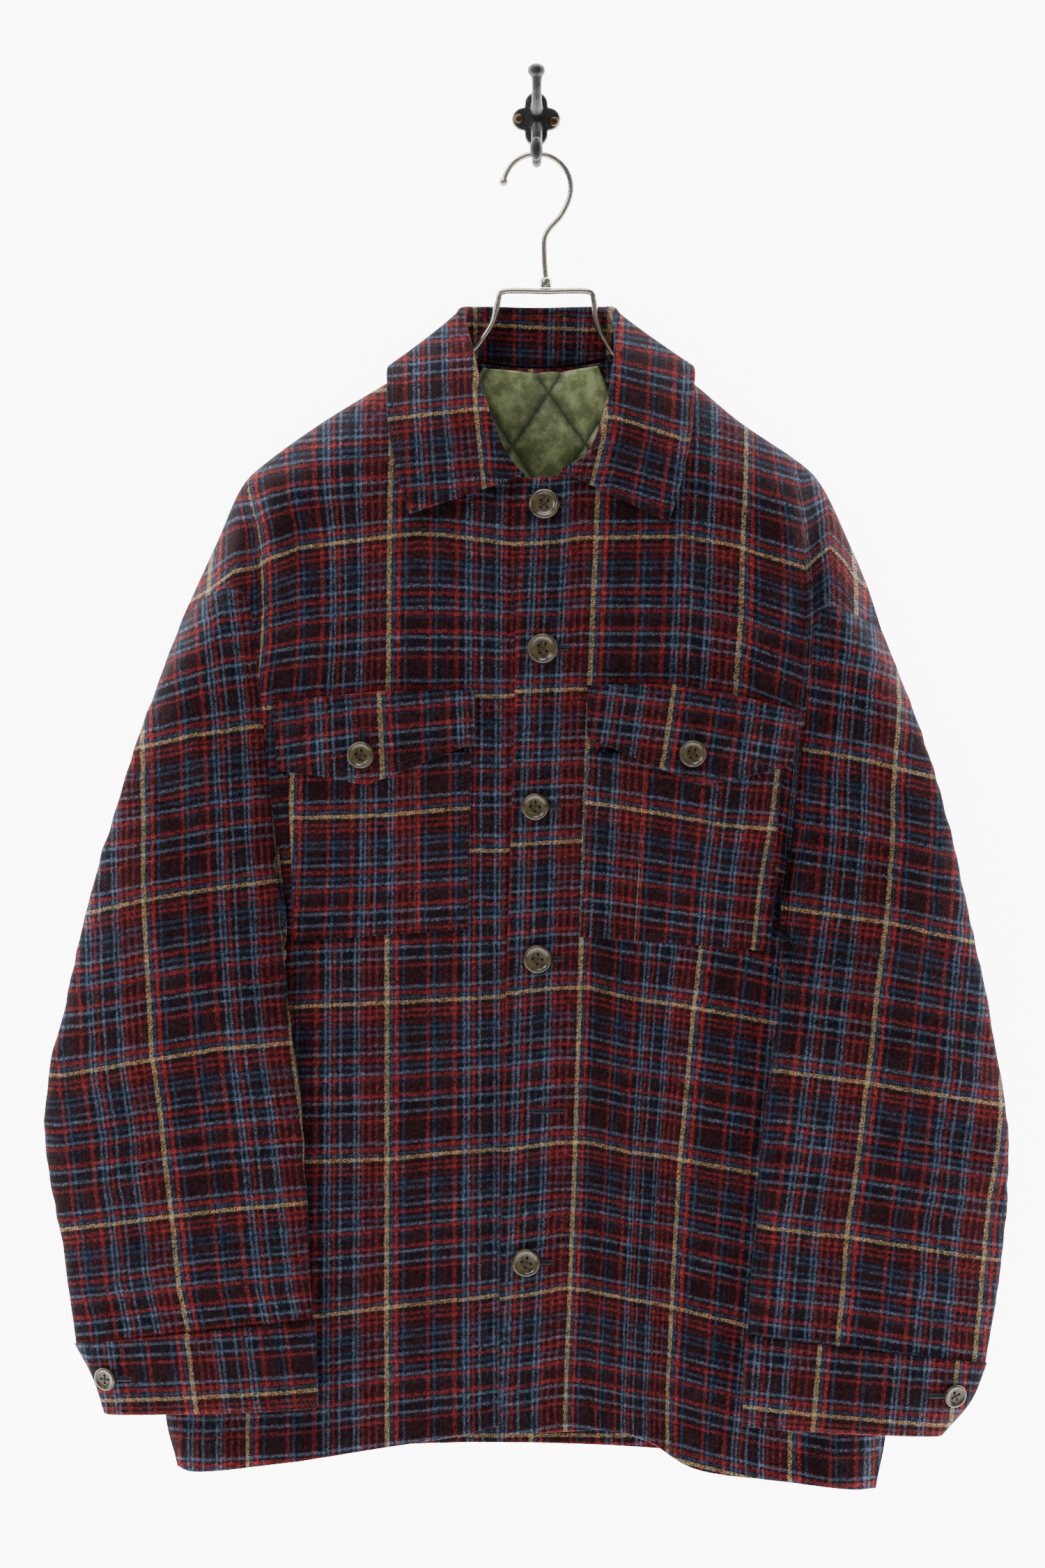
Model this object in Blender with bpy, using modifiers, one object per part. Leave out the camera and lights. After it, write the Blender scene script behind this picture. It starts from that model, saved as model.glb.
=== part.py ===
"""A check wool shacket on a wire hanger, hung from a cast-iron wall hook.

Sizes are in millimetres and are turned to metres where a mesh is made. The wall is the plane y = 0,
the front of the garment faces -Y, and the origin is the middle of the back of the wall hook's plate.
"Right" and "left" are the wearer's, so the right side lies at -X.
"""

import bmesh
import bpy
import numpy as np
from mathutils import Matrix, Vector
from mathutils.bvhtree import BVHTree

MM = 0.001
COLLECTION = "shacket"

WOOL = 2.4          # thickness of the brushed wool wall
SEAM_GAP = 0.34     # air between two pieces that are sewn together
COLLAR_WALL = 2.8
COLLAR_BEND = 2.6   # radius of the collar's fold at its middle layer
POCKET_WALL = 2.0
POCKET_LIFT = 1.4   # air between a pocket and its panel
FLAP_LIFT = 4.9     # a flap lies over the pocket's mouth
LINING_WALL = 2.0
PUFF = 3.0          # height of the lining's quilted diamonds
SLEEVE_CLEARANCE = 3.2  # air between a hanging sleeve and the front behind it

ARMPIT_EXTRA = 7.0      # more air at the armpit, fading over these rows of the sleeve
ARMPIT_ROWS = 6

HANGER_Y = -25.5    # the hanger's plane, in front of the wall
HOOK_WIRE = 4.5     # diameter of the hook's wire
YOKE_WIRE = 4.5

# Segments of the panels' grids: along the armhole, the side seam, the front neck and the shoulder.
ARMHOLE_STEPS = 11
SIDE_STEPS = 11
NECK_STEPS = 5
SHOULDER_STEPS = 8
BACK_NECK_STEPS = 8
SLEEVE_STEPS = 19
CUFF_STEPS = 4
# Front edge: the grid's rows, and their share of the edge's length. Rows 10 and 11 pass under the armhole.
EDGE_SHARES = ((0, 8, 10, 11, 22), (0, 0.35, 0.56, 0.64, 1))
ARMHOLE_CORNER = 9            # the armhole step that leads to the sleeve's inner edge
UNDERARM_TURN = 1.22 * np.pi  # where the underarm meets the sleeve's section

# Shoulder seams, from the neck point to the sleeve: columns x, y, z.
SHOULDER = {
    "right": [(-64, -26, -166), (-104, -24, -191), (-154, -24, -221.5), (-196, -24, -251.5),
              (-214, -24, -270), (-230, -24, -306), (-246, -24, -341), (-256, -24, -363)],
    "left": [(70, -26, -166), (110, -24, -191), (147, -24, -221.5), (191, -24, -251.5), (208, -24, -270),
             (226, -24, -308), (240, -24, -341), (250, -24, -372)],
}

# Front half of each armhole seam, from the shoulder seam down to the underarm: columns x, y, z.
ARMHOLE_FRONT = {
    "right": [(-256, -24, -363), (-237, -52, -349), (-219, -68, -344), (-206, -71, -354), (-200, -68, -400),
              (-194, -64, -460), (-186, -61, -535), (-182, -58, -578), (-190, -51, -596), (-212, -43, -601),
              (-238, -35, -603)],
    "left": [(250, -24, -372), (232, -52, -364), (213, -68, -357), (201, -71, -366), (196, -68, -405),
             (190, -66, -463), (182, -63.5, -535), (177, -62, -578), (185, -57, -596), (207, -48.5, -600),
             (232, -35, -603)],
}

# Back half of each armhole seam, from the shoulder seam down to the underarm: columns x, y, z.
ARMHOLE_BACK = {
    "right": [(-256, -24, -363), (-249, -13, -385), (-244, -9, -440), (-241, -10, -510), (-240, -20, -568),
              (-238, -35, -603)],
    "left": [(250, -24, -372), (243, -13, -392), (238, -9, -445), (235, -10, -515), (234, -20, -568),
             (232, -35, -603)],
}

# Side seams, from the underarm to the hem: columns x, y, z.
SIDE = {
    "right": [(-238, -35, -603), (-248, -33, -690), (-260, -31, -800), (-269, -28, -925), (-260, -27, -977)],
    "left": [(232, -35, -603), (240, -33, -690), (249, -31, -800), (254, -28, -935), (246, -27, -993)],
}

# Front neckline, from the front edge up to the neck point: columns x, y, z.
NECK = {
    "right": [(14, -74, -266), (-16, -74.5, -264), (-32, -74, -254), (-46, -67, -232), (-58, -50, -200),
              (-64, -26, -166)],
    "left": [(-14.5, -79, -266), (14, -79, -264), (34, -77, -254), (51, -70, -234), (64, -51, -201),
             (70, -26, -166)],
}
BACK_NECK = [(-64, -26, -166), (-44, -15, -178), (0, -11, -183), (48, -15, -178), (70, -26, -166)]

# Front edges, neck to hem: columns x, y, z. The right one lies under the left one.
FRONT_EDGE = {
    "right": [(14, -74, -266), (14, -84.5, -330), (13, -89, -450), (10, -83.5, -620), (8, -71.5, -800),
              (8, -61.5, -946)],
    "left": [(-14.5, -79, -266), (-14.5, -89.5, -330), (-15.5, -93.5, -450), (-21, -87.5, -620),
             (-25, -75.5, -800), (-26, -65.5, -950)],
}

# Hems, from the front edge to the side seam: columns x, y, z.
HEM = {
    "right": [(8, -61.5, -946), (-26, -62, -944), (-58, -62, -952), (-105, -60, -959.5), (-175, -54, -970.5),
              (-225, -45, -978), (-250, -36, -980), (-260, -27, -977)],
    "left": [(-26, -65.5, -950), (15, -65, -948), (50, -65, -946), (81, -61, -956), (115, -58, -976),
             (180, -53, -985), (225, -44, -992), (246, -27, -993)],
}
BACK_HEM = [(-260, -27, -977), (-250, -14, -976), (-215, -9, -970), (-95, -8, -963), (0, -8, -962),
            (110, -8, -968), (205, -9, -985), (236, -14, -992), (246, -27, -993)]

# Large folds that run down the fronts: x and z of both ends, depth (positive sinks in) and width.
FOLDS = {
    "right": [(-208, -262, -201, -345, 9, 9), (-70, -640, -84, -950, 4, 26),
              (-150, -600, -168, -960, -4, 24)],
    "left": [(201, -262, 197, -350, 9, 9), (33, -612, 41, -946, -6, 16), (88, -560, 96, -960, 5, 22),
             (160, -640, 172, -980, -3, 22)],
}

# Sleeve sections below the armhole, each seen from the front: x and z of the outer edge, x and z of the
# inner edge, y of both edges, and how far the front and the back of the section stand away from that line.
SLEEVE = {
    "right": [
        # outer x, outer z, inner x, inner z, outer y, inner y, front, back
        (-289, -456, -180, -626, -42, -76, 24, 12),
        (-318, -555, -178, -640, -50, -82, 26, 14),
        (-336, -632, -175, -660, -56, -84, 25, 17),
        (-351, -701, -170.5, -690, -58, -84, 23, 19),
        (-352, -748, -167, -730, -58, -82, 22, 18),
        (-342, -806, -164, -784, -56, -79, 21, 17),
        (-331, -885, -160, -866, -54, -76, 19, 15),
    ],
    "left": [
        (283, -462, 176, -627, -42, -76, 24, 12),
        (308, -560, 174, -641, -50, -82, 26, 14),
        (322, -634, 171, -661, -56, -84, 25, 17),
        (336, -706, 166, -698, -58, -84, 23, 19),
        (339, -756, 161, -738, -58, -82, 22, 18),
        (335, -820, 157, -790, -56, -79, 21, 17),
        (323, -899, 151, -877, -54, -76, 19, 15),
    ],
}

# Cuff sections, top to bottom, in the same columns.
CUFF = {
    "right": [(-332, -886, -158, -866.5, -54, -76, 21, 17), (-319, -911, -156.5, -899, -53, -75, 21, 17),
              (-311, -936, -156, -929, -52, -74, 20, 16)],
    "left": [(324, -900, 149, -877.5, -54, -76, 21, 17), (313, -927, 148, -911, -53, -75, 21, 17),
             (292, -952, 147, -942, -52, -74, 20, 16)],
}

# Collar, front end on the right round the back to the left: x, y, z of the neck seam, of the fold, and
# of the outer edge of the fall.
COLLAR = [
    ((-9, -80.5, -263.5), (-12, -86, -262.5), (-90, -91.5, -291)),
    ((-30, -78, -254), (-28, -86.5, -240), (-99, -86, -262)),
    ((-42.5, -71, -229.5), (-41, -79, -204), (-105, -72, -230)),
    ((-53, -53, -195.5), (-49.5, -58, -168), (-107, -51, -199)),
    ((-60.5, -28, -161.5), (-54.5, -32, -143), (-103, -25, -181)),
    ((-43, -13.6, -174), (-42, -15.5, -139), (-66, -4.8, -193)),
    ((0, -10.8, -180), (0, -13, -139.5), (0, -4.6, -200)),
    ((47, -13.6, -174), (45, -15.5, -139), (72, -4.8, -193)),
    ((66, -28, -161.5), (57, -32, -143), (110, -25, -181)),
    ((59, -55, -196), (59.5, -60, -170), (113, -51, -201)),
    ((47, -73, -229.5), (54.5, -80, -204), (110, -72, -234)),
    ((33, -79.8, -253.9), (45, -87, -243), (103, -86, -266)),
    ((18, -82.3, -263.5), (20, -88, -260), (94, -92, -296.5)),
]
COLLAR_STEPS = 28
STAND_STEPS = 3
FALL_STEPS = 5

# Chest pockets: corners at the top outer, top inner, bottom inner and bottom outer, columns x, z.
POCKET = {
    "right": [(-178, -462), (-47.5, -462), (-49.5, -587), (-173, -596)],
    "left": [(175, -462), (36.5, -462), (31, -592), (167, -603)],
}
# Flaps: top edge and lower edge, outer end to inner end, columns x, z; both edges have as many rows.
FLAP_TOP = {
    "right": [(-189, -425), (-150, -422), (-109, -418), (-75, -418), (-44.5, -418)],
    "left": [(188, -432.5), (150, -423), (98, -413.5), (66, -413.5), (36.5, -414.5)],
}
FLAP_BOTTOM = {
    "right": [(-185, -474), (-148, -479), (-122, -484.5), (-84, -470), (-44.5, -454)],
    "left": [(183, -470), (140, -481), (115.5, -484.5), (80, -469), (36.5, -451)],
}
POCKET_GRID = (11, 9)
FLAP_GRID = (12, 5)

# Buttons: x, z of the middle and the diameter.
FRONT_BUTTONS = [(5.5, -285, 22), (4.5, -387.5, 21.5), (-1, -500, 19.5), (0.5, -608.5, 20.5),
                 (-7.5, -826, 20.5)]
FLAP_BUTTONS = {"right": (-125, -463.5, 19.5), "left": (111, -462.5, 19.5)}
CUFF_BUTTONS = {"right": (-308, -909.5, 17), "left": (299, -921.5, 17)}
BUTTON_THICKNESS = 0.19  # share of the diameter
BUTTON_LIFT = 0.6
ROUND_SIDES = 14  # flats of each small turned piece

# Lining of the back, seen through the neck: half width, top and bottom, and one quilted diamond.
LINING_HALF_WIDTH = 106
LINING_DIAMOND = 79.0  # height of one quilted diamond
LINING_COLUMNS = 16
LINING_ROWS = 11
LINING_TOP = 3.5     # below the neck seam
LINING_LIFT = 1.3   # air between the lining and the back panel

# The hanger: the hook's route from its ball tip to the ferrule, and the yoke's route across the bar.
HOOK_CENTRE = (0.5, -52.5)
HOOK_RADIUS = 24.5
HOOK_NECK = [(22, -65), (17, -74), (9, -83), (5.8, -90), (5.8, -104), (6.8, -117.5)]
HOOK_TIP_ANGLE = 170
HOOK_LAST_ANGLE = -22
HOOK_BALL = 3.4
HOOK_POINTS = 15  # on the round, and again on the way down to the ferrule
YOKE_POINTS = 46
FERRULE = (6.8, 4.4, 7.0)  # x, radius, height
BAR_Z = -127.5
YOKE = [(-201, -270), (-188, -258), (-150, -231.5), (-105, -204), (-66, -182), (-47, -171), (-37.5, -159.5),
        (-31, -148.5), (-27.5, -134), (-23, BAR_Z), (7, BAR_Z), (37, BAR_Z), (41.5, -134), (43.5, -148.5),
        (50, -163), (64, -180), (105, -202.5), (150, -235), (183, -259), (196, -269)]

# The wall hook: its plate's lobes, the arms' routes (y, z) and their radius at each point.
PLATE_LOBE = 8.6
PLATE_REACH = (9.4, 11.6)  # how far the lobes' middles lie from the plate's middle, across and up
PLATE_CORE = 11.5
PLATE_DEPTH = 4.0
PLATE_TAPER = 0.93  # size of the plate's front face against its back
ARM_POINTS = 12
UPPER_ARM = [(-3.4, 8, 5.0), (-12, 6, 4.6), (-24, 10, 3.9), (-33, 20, 3.7), (-36, 28, 4.2)]
LOWER_ARM = [(-3.2, -5, 4.8), (-7.5, -8, 4.4), (-11, -18, 4.0), (-16, -29, 3.6), (-23.5, -34.6, 3.6),
             (-31, -32, 3.8), (-34, -26, 4.2)]
UPPER_KNOB = (-36, 31, 6.6, 5.4)  # y, z, radius across, radius up
LOWER_KNOB = (-34.5, -25, 4.9, 8.6)
SCREWS = [(-12.6, 0), (12.8, -2)]
SCREW_HEAD = (3.5, 1.5)  # radius, height

COLOURS = {
    "wool": ((0.06, 0.03, 0.045, 1), 0.95, 0.0),
    "lining": ((0.16, 0.18, 0.07, 1), 0.4, 0.0),
    "horn": ((0.14, 0.1, 0.05, 1), 0.3, 0.0),
    "wire": ((0.62, 0.58, 0.52, 1), 0.25, 1.0),
    "iron": ((0.02, 0.02, 0.02, 1), 0.5, 0.6),
    "screw": ((0.12, 0.08, 0.05, 1), 0.45, 0.9),
}


def unit(vectors):
    vectors = np.asarray(vectors, float)
    return vectors / np.maximum(np.linalg.norm(vectors, axis=-1, keepdims=True), 1e-9)


def curve_through(rows, samples):
    """A smooth curve through the rows, with the same number of samples between each two."""
    rows = np.asarray(rows, float)
    before = np.vstack([2 * rows[0] - rows[1], rows[:-1]])
    after = np.vstack([rows[1:], 2 * rows[-1] - rows[-2]])
    slope = (after - before) / 2
    t = np.linspace(0, 1, samples, endpoint=False)[:, None]
    pieces = [(2 * t**3 - 3 * t**2 + 1) * a + (t**3 - 2 * t**2 + t) * m + (3 * t**2 - 2 * t**3) * b
              + (t**3 - t**2) * n for a, b, m, n in zip(rows[:-1], rows[1:], slope[:-1], slope[1:])]
    return np.stack(pieces, axis=0).reshape(-1, rows.shape[1]), rows[-1:]


def by_row(rows, shares, samples=40):
    """Points on the curve through the rows, at the given shares of the rows' count."""
    line = np.vstack(curve_through(rows, samples))
    at = np.asarray(shares) * (len(line) - 1)
    return np.stack([np.interp(at, np.arange(len(line)), line[:, k]) for k in range(line.shape[1])], axis=1)


def smooth(rows, shares, samples=40):
    """Points at the given shares of the length of a smooth curve through the rows."""
    line = np.vstack(curve_through(rows, samples))
    length = np.concatenate([[0], np.cumsum(np.linalg.norm(np.diff(line, axis=0), axis=1))])
    at = np.asarray(shares) * length[-1]
    return np.stack([np.interp(at, length, line[:, k]) for k in range(line.shape[1])], axis=1)


def even(steps):
    return np.linspace(0, 1, steps + 1)


def chain(*edges):
    """Joins edges that share their end points."""
    return np.vstack([edges[0]] + [edge[1:] for edge in edges[1:]])


def armhole_normal(side, points):
    """Outward direction of the cloth on the armhole seam, which the panels and the sleeve share."""
    sign = -1 if side == "right" else 1
    middle = np.array([sign * 180.0, -38.0, -472.0])
    reach = np.array([60.0, 30.0, 115.0])
    return unit((points - middle) / reach**2)


def grid_normals(grid, outward, wrap=False):
    """Normals of a grid of points, turned to the side that outward names for its middle."""
    if wrap:
        along = np.roll(grid, -1, axis=0) - np.roll(grid, 1, axis=0)
    else:
        along = np.gradient(grid, axis=0)
    normals = unit(np.cross(along, np.gradient(grid, axis=1)))
    middle = normals[normals.shape[0] // 2, normals.shape[1] // 2]
    if np.dot(middle, outward) < 0:
        normals = -normals
    return normals


def material(kind):
    found = bpy.data.materials.get(kind)
    if found:
        return found
    made = bpy.data.materials.new(kind)
    made.use_nodes = True
    shader = made.node_tree.nodes["Principled BSDF"]
    colour, roughness, metallic = COLOURS[kind]
    shader.inputs["Base Color"].default_value = colour
    shader.inputs["Roughness"].default_value = roughness
    shader.inputs["Metallic"].default_value = metallic
    made.diffuse_color = colour
    return made


def place(name, mesh, kind, smooth_angle=50):
    mesh.materials.append(material(kind))
    mesh.shade_smooth()
    mesh.set_sharp_from_angle(angle=np.radians(smooth_angle))
    thing = bpy.data.objects.new(name, mesh)
    bpy.data.collections[COLLECTION].objects.link(thing)
    return thing


def skin(bm, grid, wrap):
    """One grid of quads whose points are moved to the given places; returns its vertices by row."""
    columns, rows = grid.shape[0] - 1, grid.shape[1] - 1
    if wrap:
        columns += 1
    made = bmesh.ops.create_grid(bm, x_segments=columns, y_segments=rows, size=1)["verts"]
    table = {}
    for vertex in made:
        column = round((vertex.co.x + 1) / 2 * columns)
        row = round((vertex.co.y + 1) / 2 * rows)
        table[column, row] = vertex
    for (column, row), vertex in table.items():
        vertex.co = Vector(grid[column % grid.shape[0], row]) * MM
    if wrap:
        seam = {table[columns, row]: table[0, row] for row in range(rows + 1)}
        bmesh.ops.weld_verts(bm, targetmap=seam)
        for row in range(rows + 1):
            table[columns, row] = table[0, row]
    return table, columns, rows


def wall(name, outer, inner, kind, wrap=False):
    """A closed wall between two grids of the same size; wrap joins the first column to the last."""
    bm = bmesh.new()
    front, columns, rows = skin(bm, outer, wrap)
    back, _, _ = skin(bm, inner, wrap)
    rim = [((i, j), (i + 1, j)) for j in (0, rows) for i in range(columns)]
    if not wrap:
        rim += [((i, j), (i, j + 1)) for i in (0, columns) for j in range(rows)]
    for a, b in rim:
        bm.faces.new((front[a], front[b], back[b], back[a]))
    bmesh.ops.recalc_face_normals(bm, faces=bm.faces)
    mesh = bpy.data.meshes.new(name)
    bm.to_mesh(mesh)
    bm.free()
    return place(name, mesh, kind)


def part_from_seam(grid, sides, gap=SEAM_GAP / 2):
    """Pulls the named border rows of a panel back from its seams by half a gap."""
    grid = grid.copy()
    for side in sides:
        edge, near = {"first_column": (grid[0], grid[1]), "last_column": (grid[-1], grid[-2]),
                      "first_row": (grid[:, 0], grid[:, 1]), "last_row": (grid[:, -1], grid[:, -2])}[side]
        edge += unit(near - edge) * gap
    return grid


def seam_lines(side):
    """The four borders of a front panel, each sampled at the panel's grid lines."""
    top = chain(smooth(NECK[side], even(NECK_STEPS)), smooth(SHOULDER[side], even(SHOULDER_STEPS)))
    outer = chain(smooth(ARMHOLE_FRONT[side], even(ARMHOLE_STEPS)), smooth(SIDE[side], even(SIDE_STEPS)))
    edge = smooth(FRONT_EDGE[side], np.interp(np.arange(ARMHOLE_STEPS + SIDE_STEPS + 1), *EDGE_SHARES))
    hem = smooth(HEM[side], even(NECK_STEPS + SHOULDER_STEPS))
    return top, outer, edge, hem


def fill(top, bottom, first, last, ease_down, ease_first, ease_last):
    """A panel between four borders. The ease values say how fast each border's influence fades in."""
    columns, rows = len(top), len(first)
    u, v = np.linspace(0, 1, columns)[:, None, None], np.linspace(0, 1, rows)[None, :, None]

    def blended(down, from_first, from_last):
        base = (1 - down) * top[:, None] + down * bottom[:, None]
        low = first[None] - base[:1]
        high = last[None] - base[-1:]
        return base + from_first * low + from_last * high

    flat = blended(1 - (1 - v) ** 3, 1 - u, u)
    deep = blended(ease_down(v), ease_first(u), ease_last(u))
    return np.concatenate([flat[..., :1], deep[..., 1:2], flat[..., 2:]], axis=2)


def rise(v, reach=0.3):
    """Quarter of an ellipse: 0 at the seam, 1 from the given reach on."""
    return np.sqrt(1 - (1 - np.clip(v / reach, 0, 1)) ** 2)


def round_over(u, power=3):
    """0 over most of the panel and then quickly to 1, so that the cloth rounds over at a side seam."""
    return 1 - np.sqrt(1 - np.clip(u, 0, 1) ** power)


def fold_depth(side, points):
    """How far the large folds sink the cloth at each point, fading out at the seams."""
    x, z = points[..., 0], points[..., 2]
    sunk = np.zeros(x.shape)
    for x0, z0, x1, z1, depth, width in FOLDS[side]:
        share = np.clip((z0 - z) / (z0 - z1), 0, 1)
        ends = np.clip(6 * share, 0, 1) * np.clip(1.4 - share * 0.4, 0, 1)
        ends = np.where((z > z0) | (z < z1 - 20), 0, ends)
        sunk += depth * ends * np.exp(-(((x - x0 - (x1 - x0) * share) / width) ** 2))
    columns, rows = x.shape
    u, v = np.linspace(0, 1, columns)[:, None], np.linspace(0, 1, rows)[None]
    return sunk * np.clip(10 * v, 0, 1) * np.clip(8 * (1 - u), 0, 1)


def front_grid(side):
    top, outer, edge, hem = seam_lines(side)
    grid = fill(top, hem, edge, outer, rise, lambda u: 1 - round_over(u), round_over)
    grid[..., 1] += fold_depth(side, grid)
    return grid


def shoulder_normal(side, points):
    """Outward direction on a shoulder seam: square to the seam, up and out."""
    along = unit(np.gradient(points, axis=0))
    sign = -1 if side == "right" else 1
    return unit(np.stack([-sign * along[:, 2], 0 * along[:, 1], sign * along[:, 0]], axis=1))


def front_panel(side):
    grid = front_grid(side)
    normals = grid_normals(grid, (0, -1, 0))
    shoulder = slice(NECK_STEPS, None)
    normals[shoulder, 0] = shoulder_normal(side, grid[shoulder, 0])
    normals[-1, :ARMHOLE_STEPS + 1] = armhole_normal(side, grid[-1, :ARMHOLE_STEPS + 1])
    sign = -1 if side == "right" else 1
    normals[-1, ARMHOLE_STEPS + 1:] = (sign, 0, 0)
    inner = grid - normals * WOOL
    sides = ("last_column", "first_row")
    return wall(f"front_{side}", part_from_seam(grid, sides), part_from_seam(inner, sides), "wool")


def back_grid():
    top = chain(smooth(SHOULDER["right"][::-1], even(SHOULDER_STEPS)),
                smooth(BACK_NECK, even(BACK_NECK_STEPS)), smooth(SHOULDER["left"], even(SHOULDER_STEPS)))
    first, last = (chain(smooth(ARMHOLE_BACK[side], even(ARMHOLE_STEPS)),
                         smooth(SIDE[side], even(SIDE_STEPS))) for side in ("right", "left"))
    hem = smooth(BACK_HEM, even(2 * SHOULDER_STEPS + BACK_NECK_STEPS))
    return fill(top, hem, first, last, lambda v: rise(v, 0.14), lambda u: round_over(1 - u, 8),
                lambda u: round_over(u, 8))


def back_panel():
    grid = back_grid()
    normals = grid_normals(grid, (0, 1, 0))
    ends = {"right": (0, slice(SHOULDER_STEPS, None, -1)), "left": (-1, slice(-SHOULDER_STEPS - 1, None))}
    for side, (column, shoulder) in ends.items():
        normals[shoulder, 0] = shoulder_normal(side, grid[shoulder, 0])
        normals[column, :ARMHOLE_STEPS + 1] = armhole_normal(side, grid[column, :ARMHOLE_STEPS + 1])
        normals[column, ARMHOLE_STEPS + 1:] = (-1 if side == "right" else 1, 0, 0)
    inner = grid - normals * WOOL
    sides = ("first_column", "last_column", "first_row")
    return wall("back", part_from_seam(grid, sides), part_from_seam(inner, sides), "wool")


def armhole_loop(side):
    front = smooth(ARMHOLE_FRONT[side], even(ARMHOLE_STEPS))
    back = smooth(ARMHOLE_BACK[side], even(ARMHOLE_STEPS))
    return np.vstack([front, back[-2:0:-1]])


def ring(row, turn):
    """A closed section of a sleeve or cuff at the given angles: 0 outside, then front, inside, back."""
    outer_x, outer_z, inner_x, inner_z, outer_y, inner_y, front, back = row
    share = (1 - np.cos(turn)) / 2
    line = np.outer(1 - share, (outer_x, outer_y, outer_z)) + np.outer(share, (inner_x, inner_y, inner_z))
    bulge = np.where(np.sin(turn) > 0, -front, back) * np.abs(np.sin(turn)) ** 0.8
    return line + np.outer(bulge, (0, 1, 0))


def sleeve_grid(side):
    loop = armhole_loop(side)
    count = len(loop)
    turn = np.interp(np.arange(count), (0, ARMHOLE_CORNER, ARMHOLE_STEPS, count),
                     (0, np.pi, UNDERARM_TURN, 2 * np.pi))
    keys = np.stack([loop] + [ring(row, turn) for row in SLEEVE[side]])
    spacing = np.linspace(0, 1, SLEEVE_STEPS + 1)
    return np.stack([smooth(keys[:, k], spacing) for k in range(len(loop))])


def settle(grid, tree, extra=0.0):
    """Moves points forward where the grid comes too close to a panel behind it, more in its first rows."""
    grid = grid.copy()
    for j in range(grid.shape[1]):
        wanted = SLEEVE_CLEARANCE + extra * max(0.0, 1 - j / ARMPIT_ROWS)
        for i in range(grid.shape[0]):
            x, y, z = grid[i, j]
            found = hit_front(tree, x, z)
            if found is not None and y > found[0][1] - wanted:
                grid[i, j, 1] = found[0][1] - wanted
    return grid


def sleeve(side, panel):
    grid = sleeve_grid(side)
    grid[:, 1:] = settle(grid[:, 1:], tree_of(panel), ARMPIT_EXTRA)
    sign = -1 if side == "right" else 1
    middle = grid.mean(axis=0, keepdims=True)
    normals = grid_normals(grid, (sign, 0, 0), wrap=True)
    if (normals * (grid - middle)).sum() < 0:
        normals = -normals
    normals[:, 0] = armhole_normal(side, grid[:, 0])
    inner = grid - normals * WOOL
    sides = ("first_row",)
    return wall(f"sleeve_{side}", part_from_seam(grid, sides), part_from_seam(inner, sides), "wool",
                wrap=True)


def cuff(side, panel):
    count = 2 * ARMHOLE_STEPS
    turn = np.linspace(0, 2 * np.pi, count, endpoint=False)
    keys = np.stack([ring(row, turn) for row in CUFF[side]])
    grid = np.stack([smooth(keys[:, k], even(CUFF_STEPS)) for k in range(count)])
    grid = settle(grid, tree_of(panel))
    middle = grid.mean(axis=0, keepdims=True)
    normals = grid_normals(grid, (0, 0, 0), wrap=True)
    if (normals * (grid - middle)).sum() < 0:
        normals = -normals
    normals[..., 2] = 0
    inner = grid - unit(normals) * (WOOL + 0.8)
    return wall(f"cuff_{side}", grid, inner, "wool", wrap=True)


def collar():
    """Stand and fall in one folded sheet, with a round bend along the fold."""
    shares = even(COLLAR_STEPS)
    seam, fold, edge = (by_row([row[k] for row in COLLAR], shares) for k in range(3))
    away = unit((edge - seam) * (1, 1, 0))
    rows = []
    for step in range(STAND_STEPS):
        share = step / STAND_STEPS
        rows.append((1 - share) * seam + share * (fold - away * COLLAR_BEND - (0, 0, COLLAR_BEND)))
    for turn in (0.0, 0.5, 1.0):
        side, up = -np.cos(turn * np.pi), np.sin(turn * np.pi) - 1
        rows.append(fold + away * COLLAR_BEND * side + np.array((0, 0, 1)) * COLLAR_BEND * up)
    start = rows[-1]
    for step in range(1, FALL_STEPS + 1):
        share = step / FALL_STEPS
        rows.append((1 - share) * start + share * edge)
    grid = np.stack(rows, axis=1)
    normals = grid_normals(grid, (0, 0, 1))
    half = normals * COLLAR_WALL / 2
    return wall("collar", grid + half, grid - half, "wool")


def tree_of(thing):
    bm = bmesh.new()
    bm.from_mesh(thing.data)
    bmesh.ops.triangulate(bm, faces=bm.faces)
    tree = BVHTree.FromBMesh(bm)
    bm.free()
    return tree


def hit_front(tree, x, z):
    """The foremost point of a solid at x, z, in millimetres, and its normal, or None beside it."""
    point, normal, _, _ = tree.ray_cast(Vector((x * MM, -0.4, z * MM)), Vector((0, 1, 0)))
    return None if point is None else (np.array(point) / MM, np.array(normal))


def patch(name, plan, panel, lift, kind):
    """A piece that lies on a panel: its grid of x, z places is laid on the panel and moved out."""
    columns, rows = plan.shape[:2]
    tree = tree_of(panel)
    base = np.empty((columns, rows, 3))
    for i in range(columns):
        for j in range(rows):
            base[i, j] = hit_front(tree, *plan[i, j])[0]
    under = base - np.array((0, lift, 0))
    return wall(name, under - np.array((0, POCKET_WALL, 0)), under, kind)


def pocket(side, panel):
    a, b, c, d = (np.array(corner, float) for corner in POCKET[side])
    u, v = even(POCKET_GRID[0])[:, None, None], even(POCKET_GRID[1])[None, :, None]
    plan = (1 - v) * ((1 - u) * a + u * b) + v * ((1 - u) * d + u * c)
    return patch(f"pocket_{side}", plan, panel, POCKET_LIFT, "wool")


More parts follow.
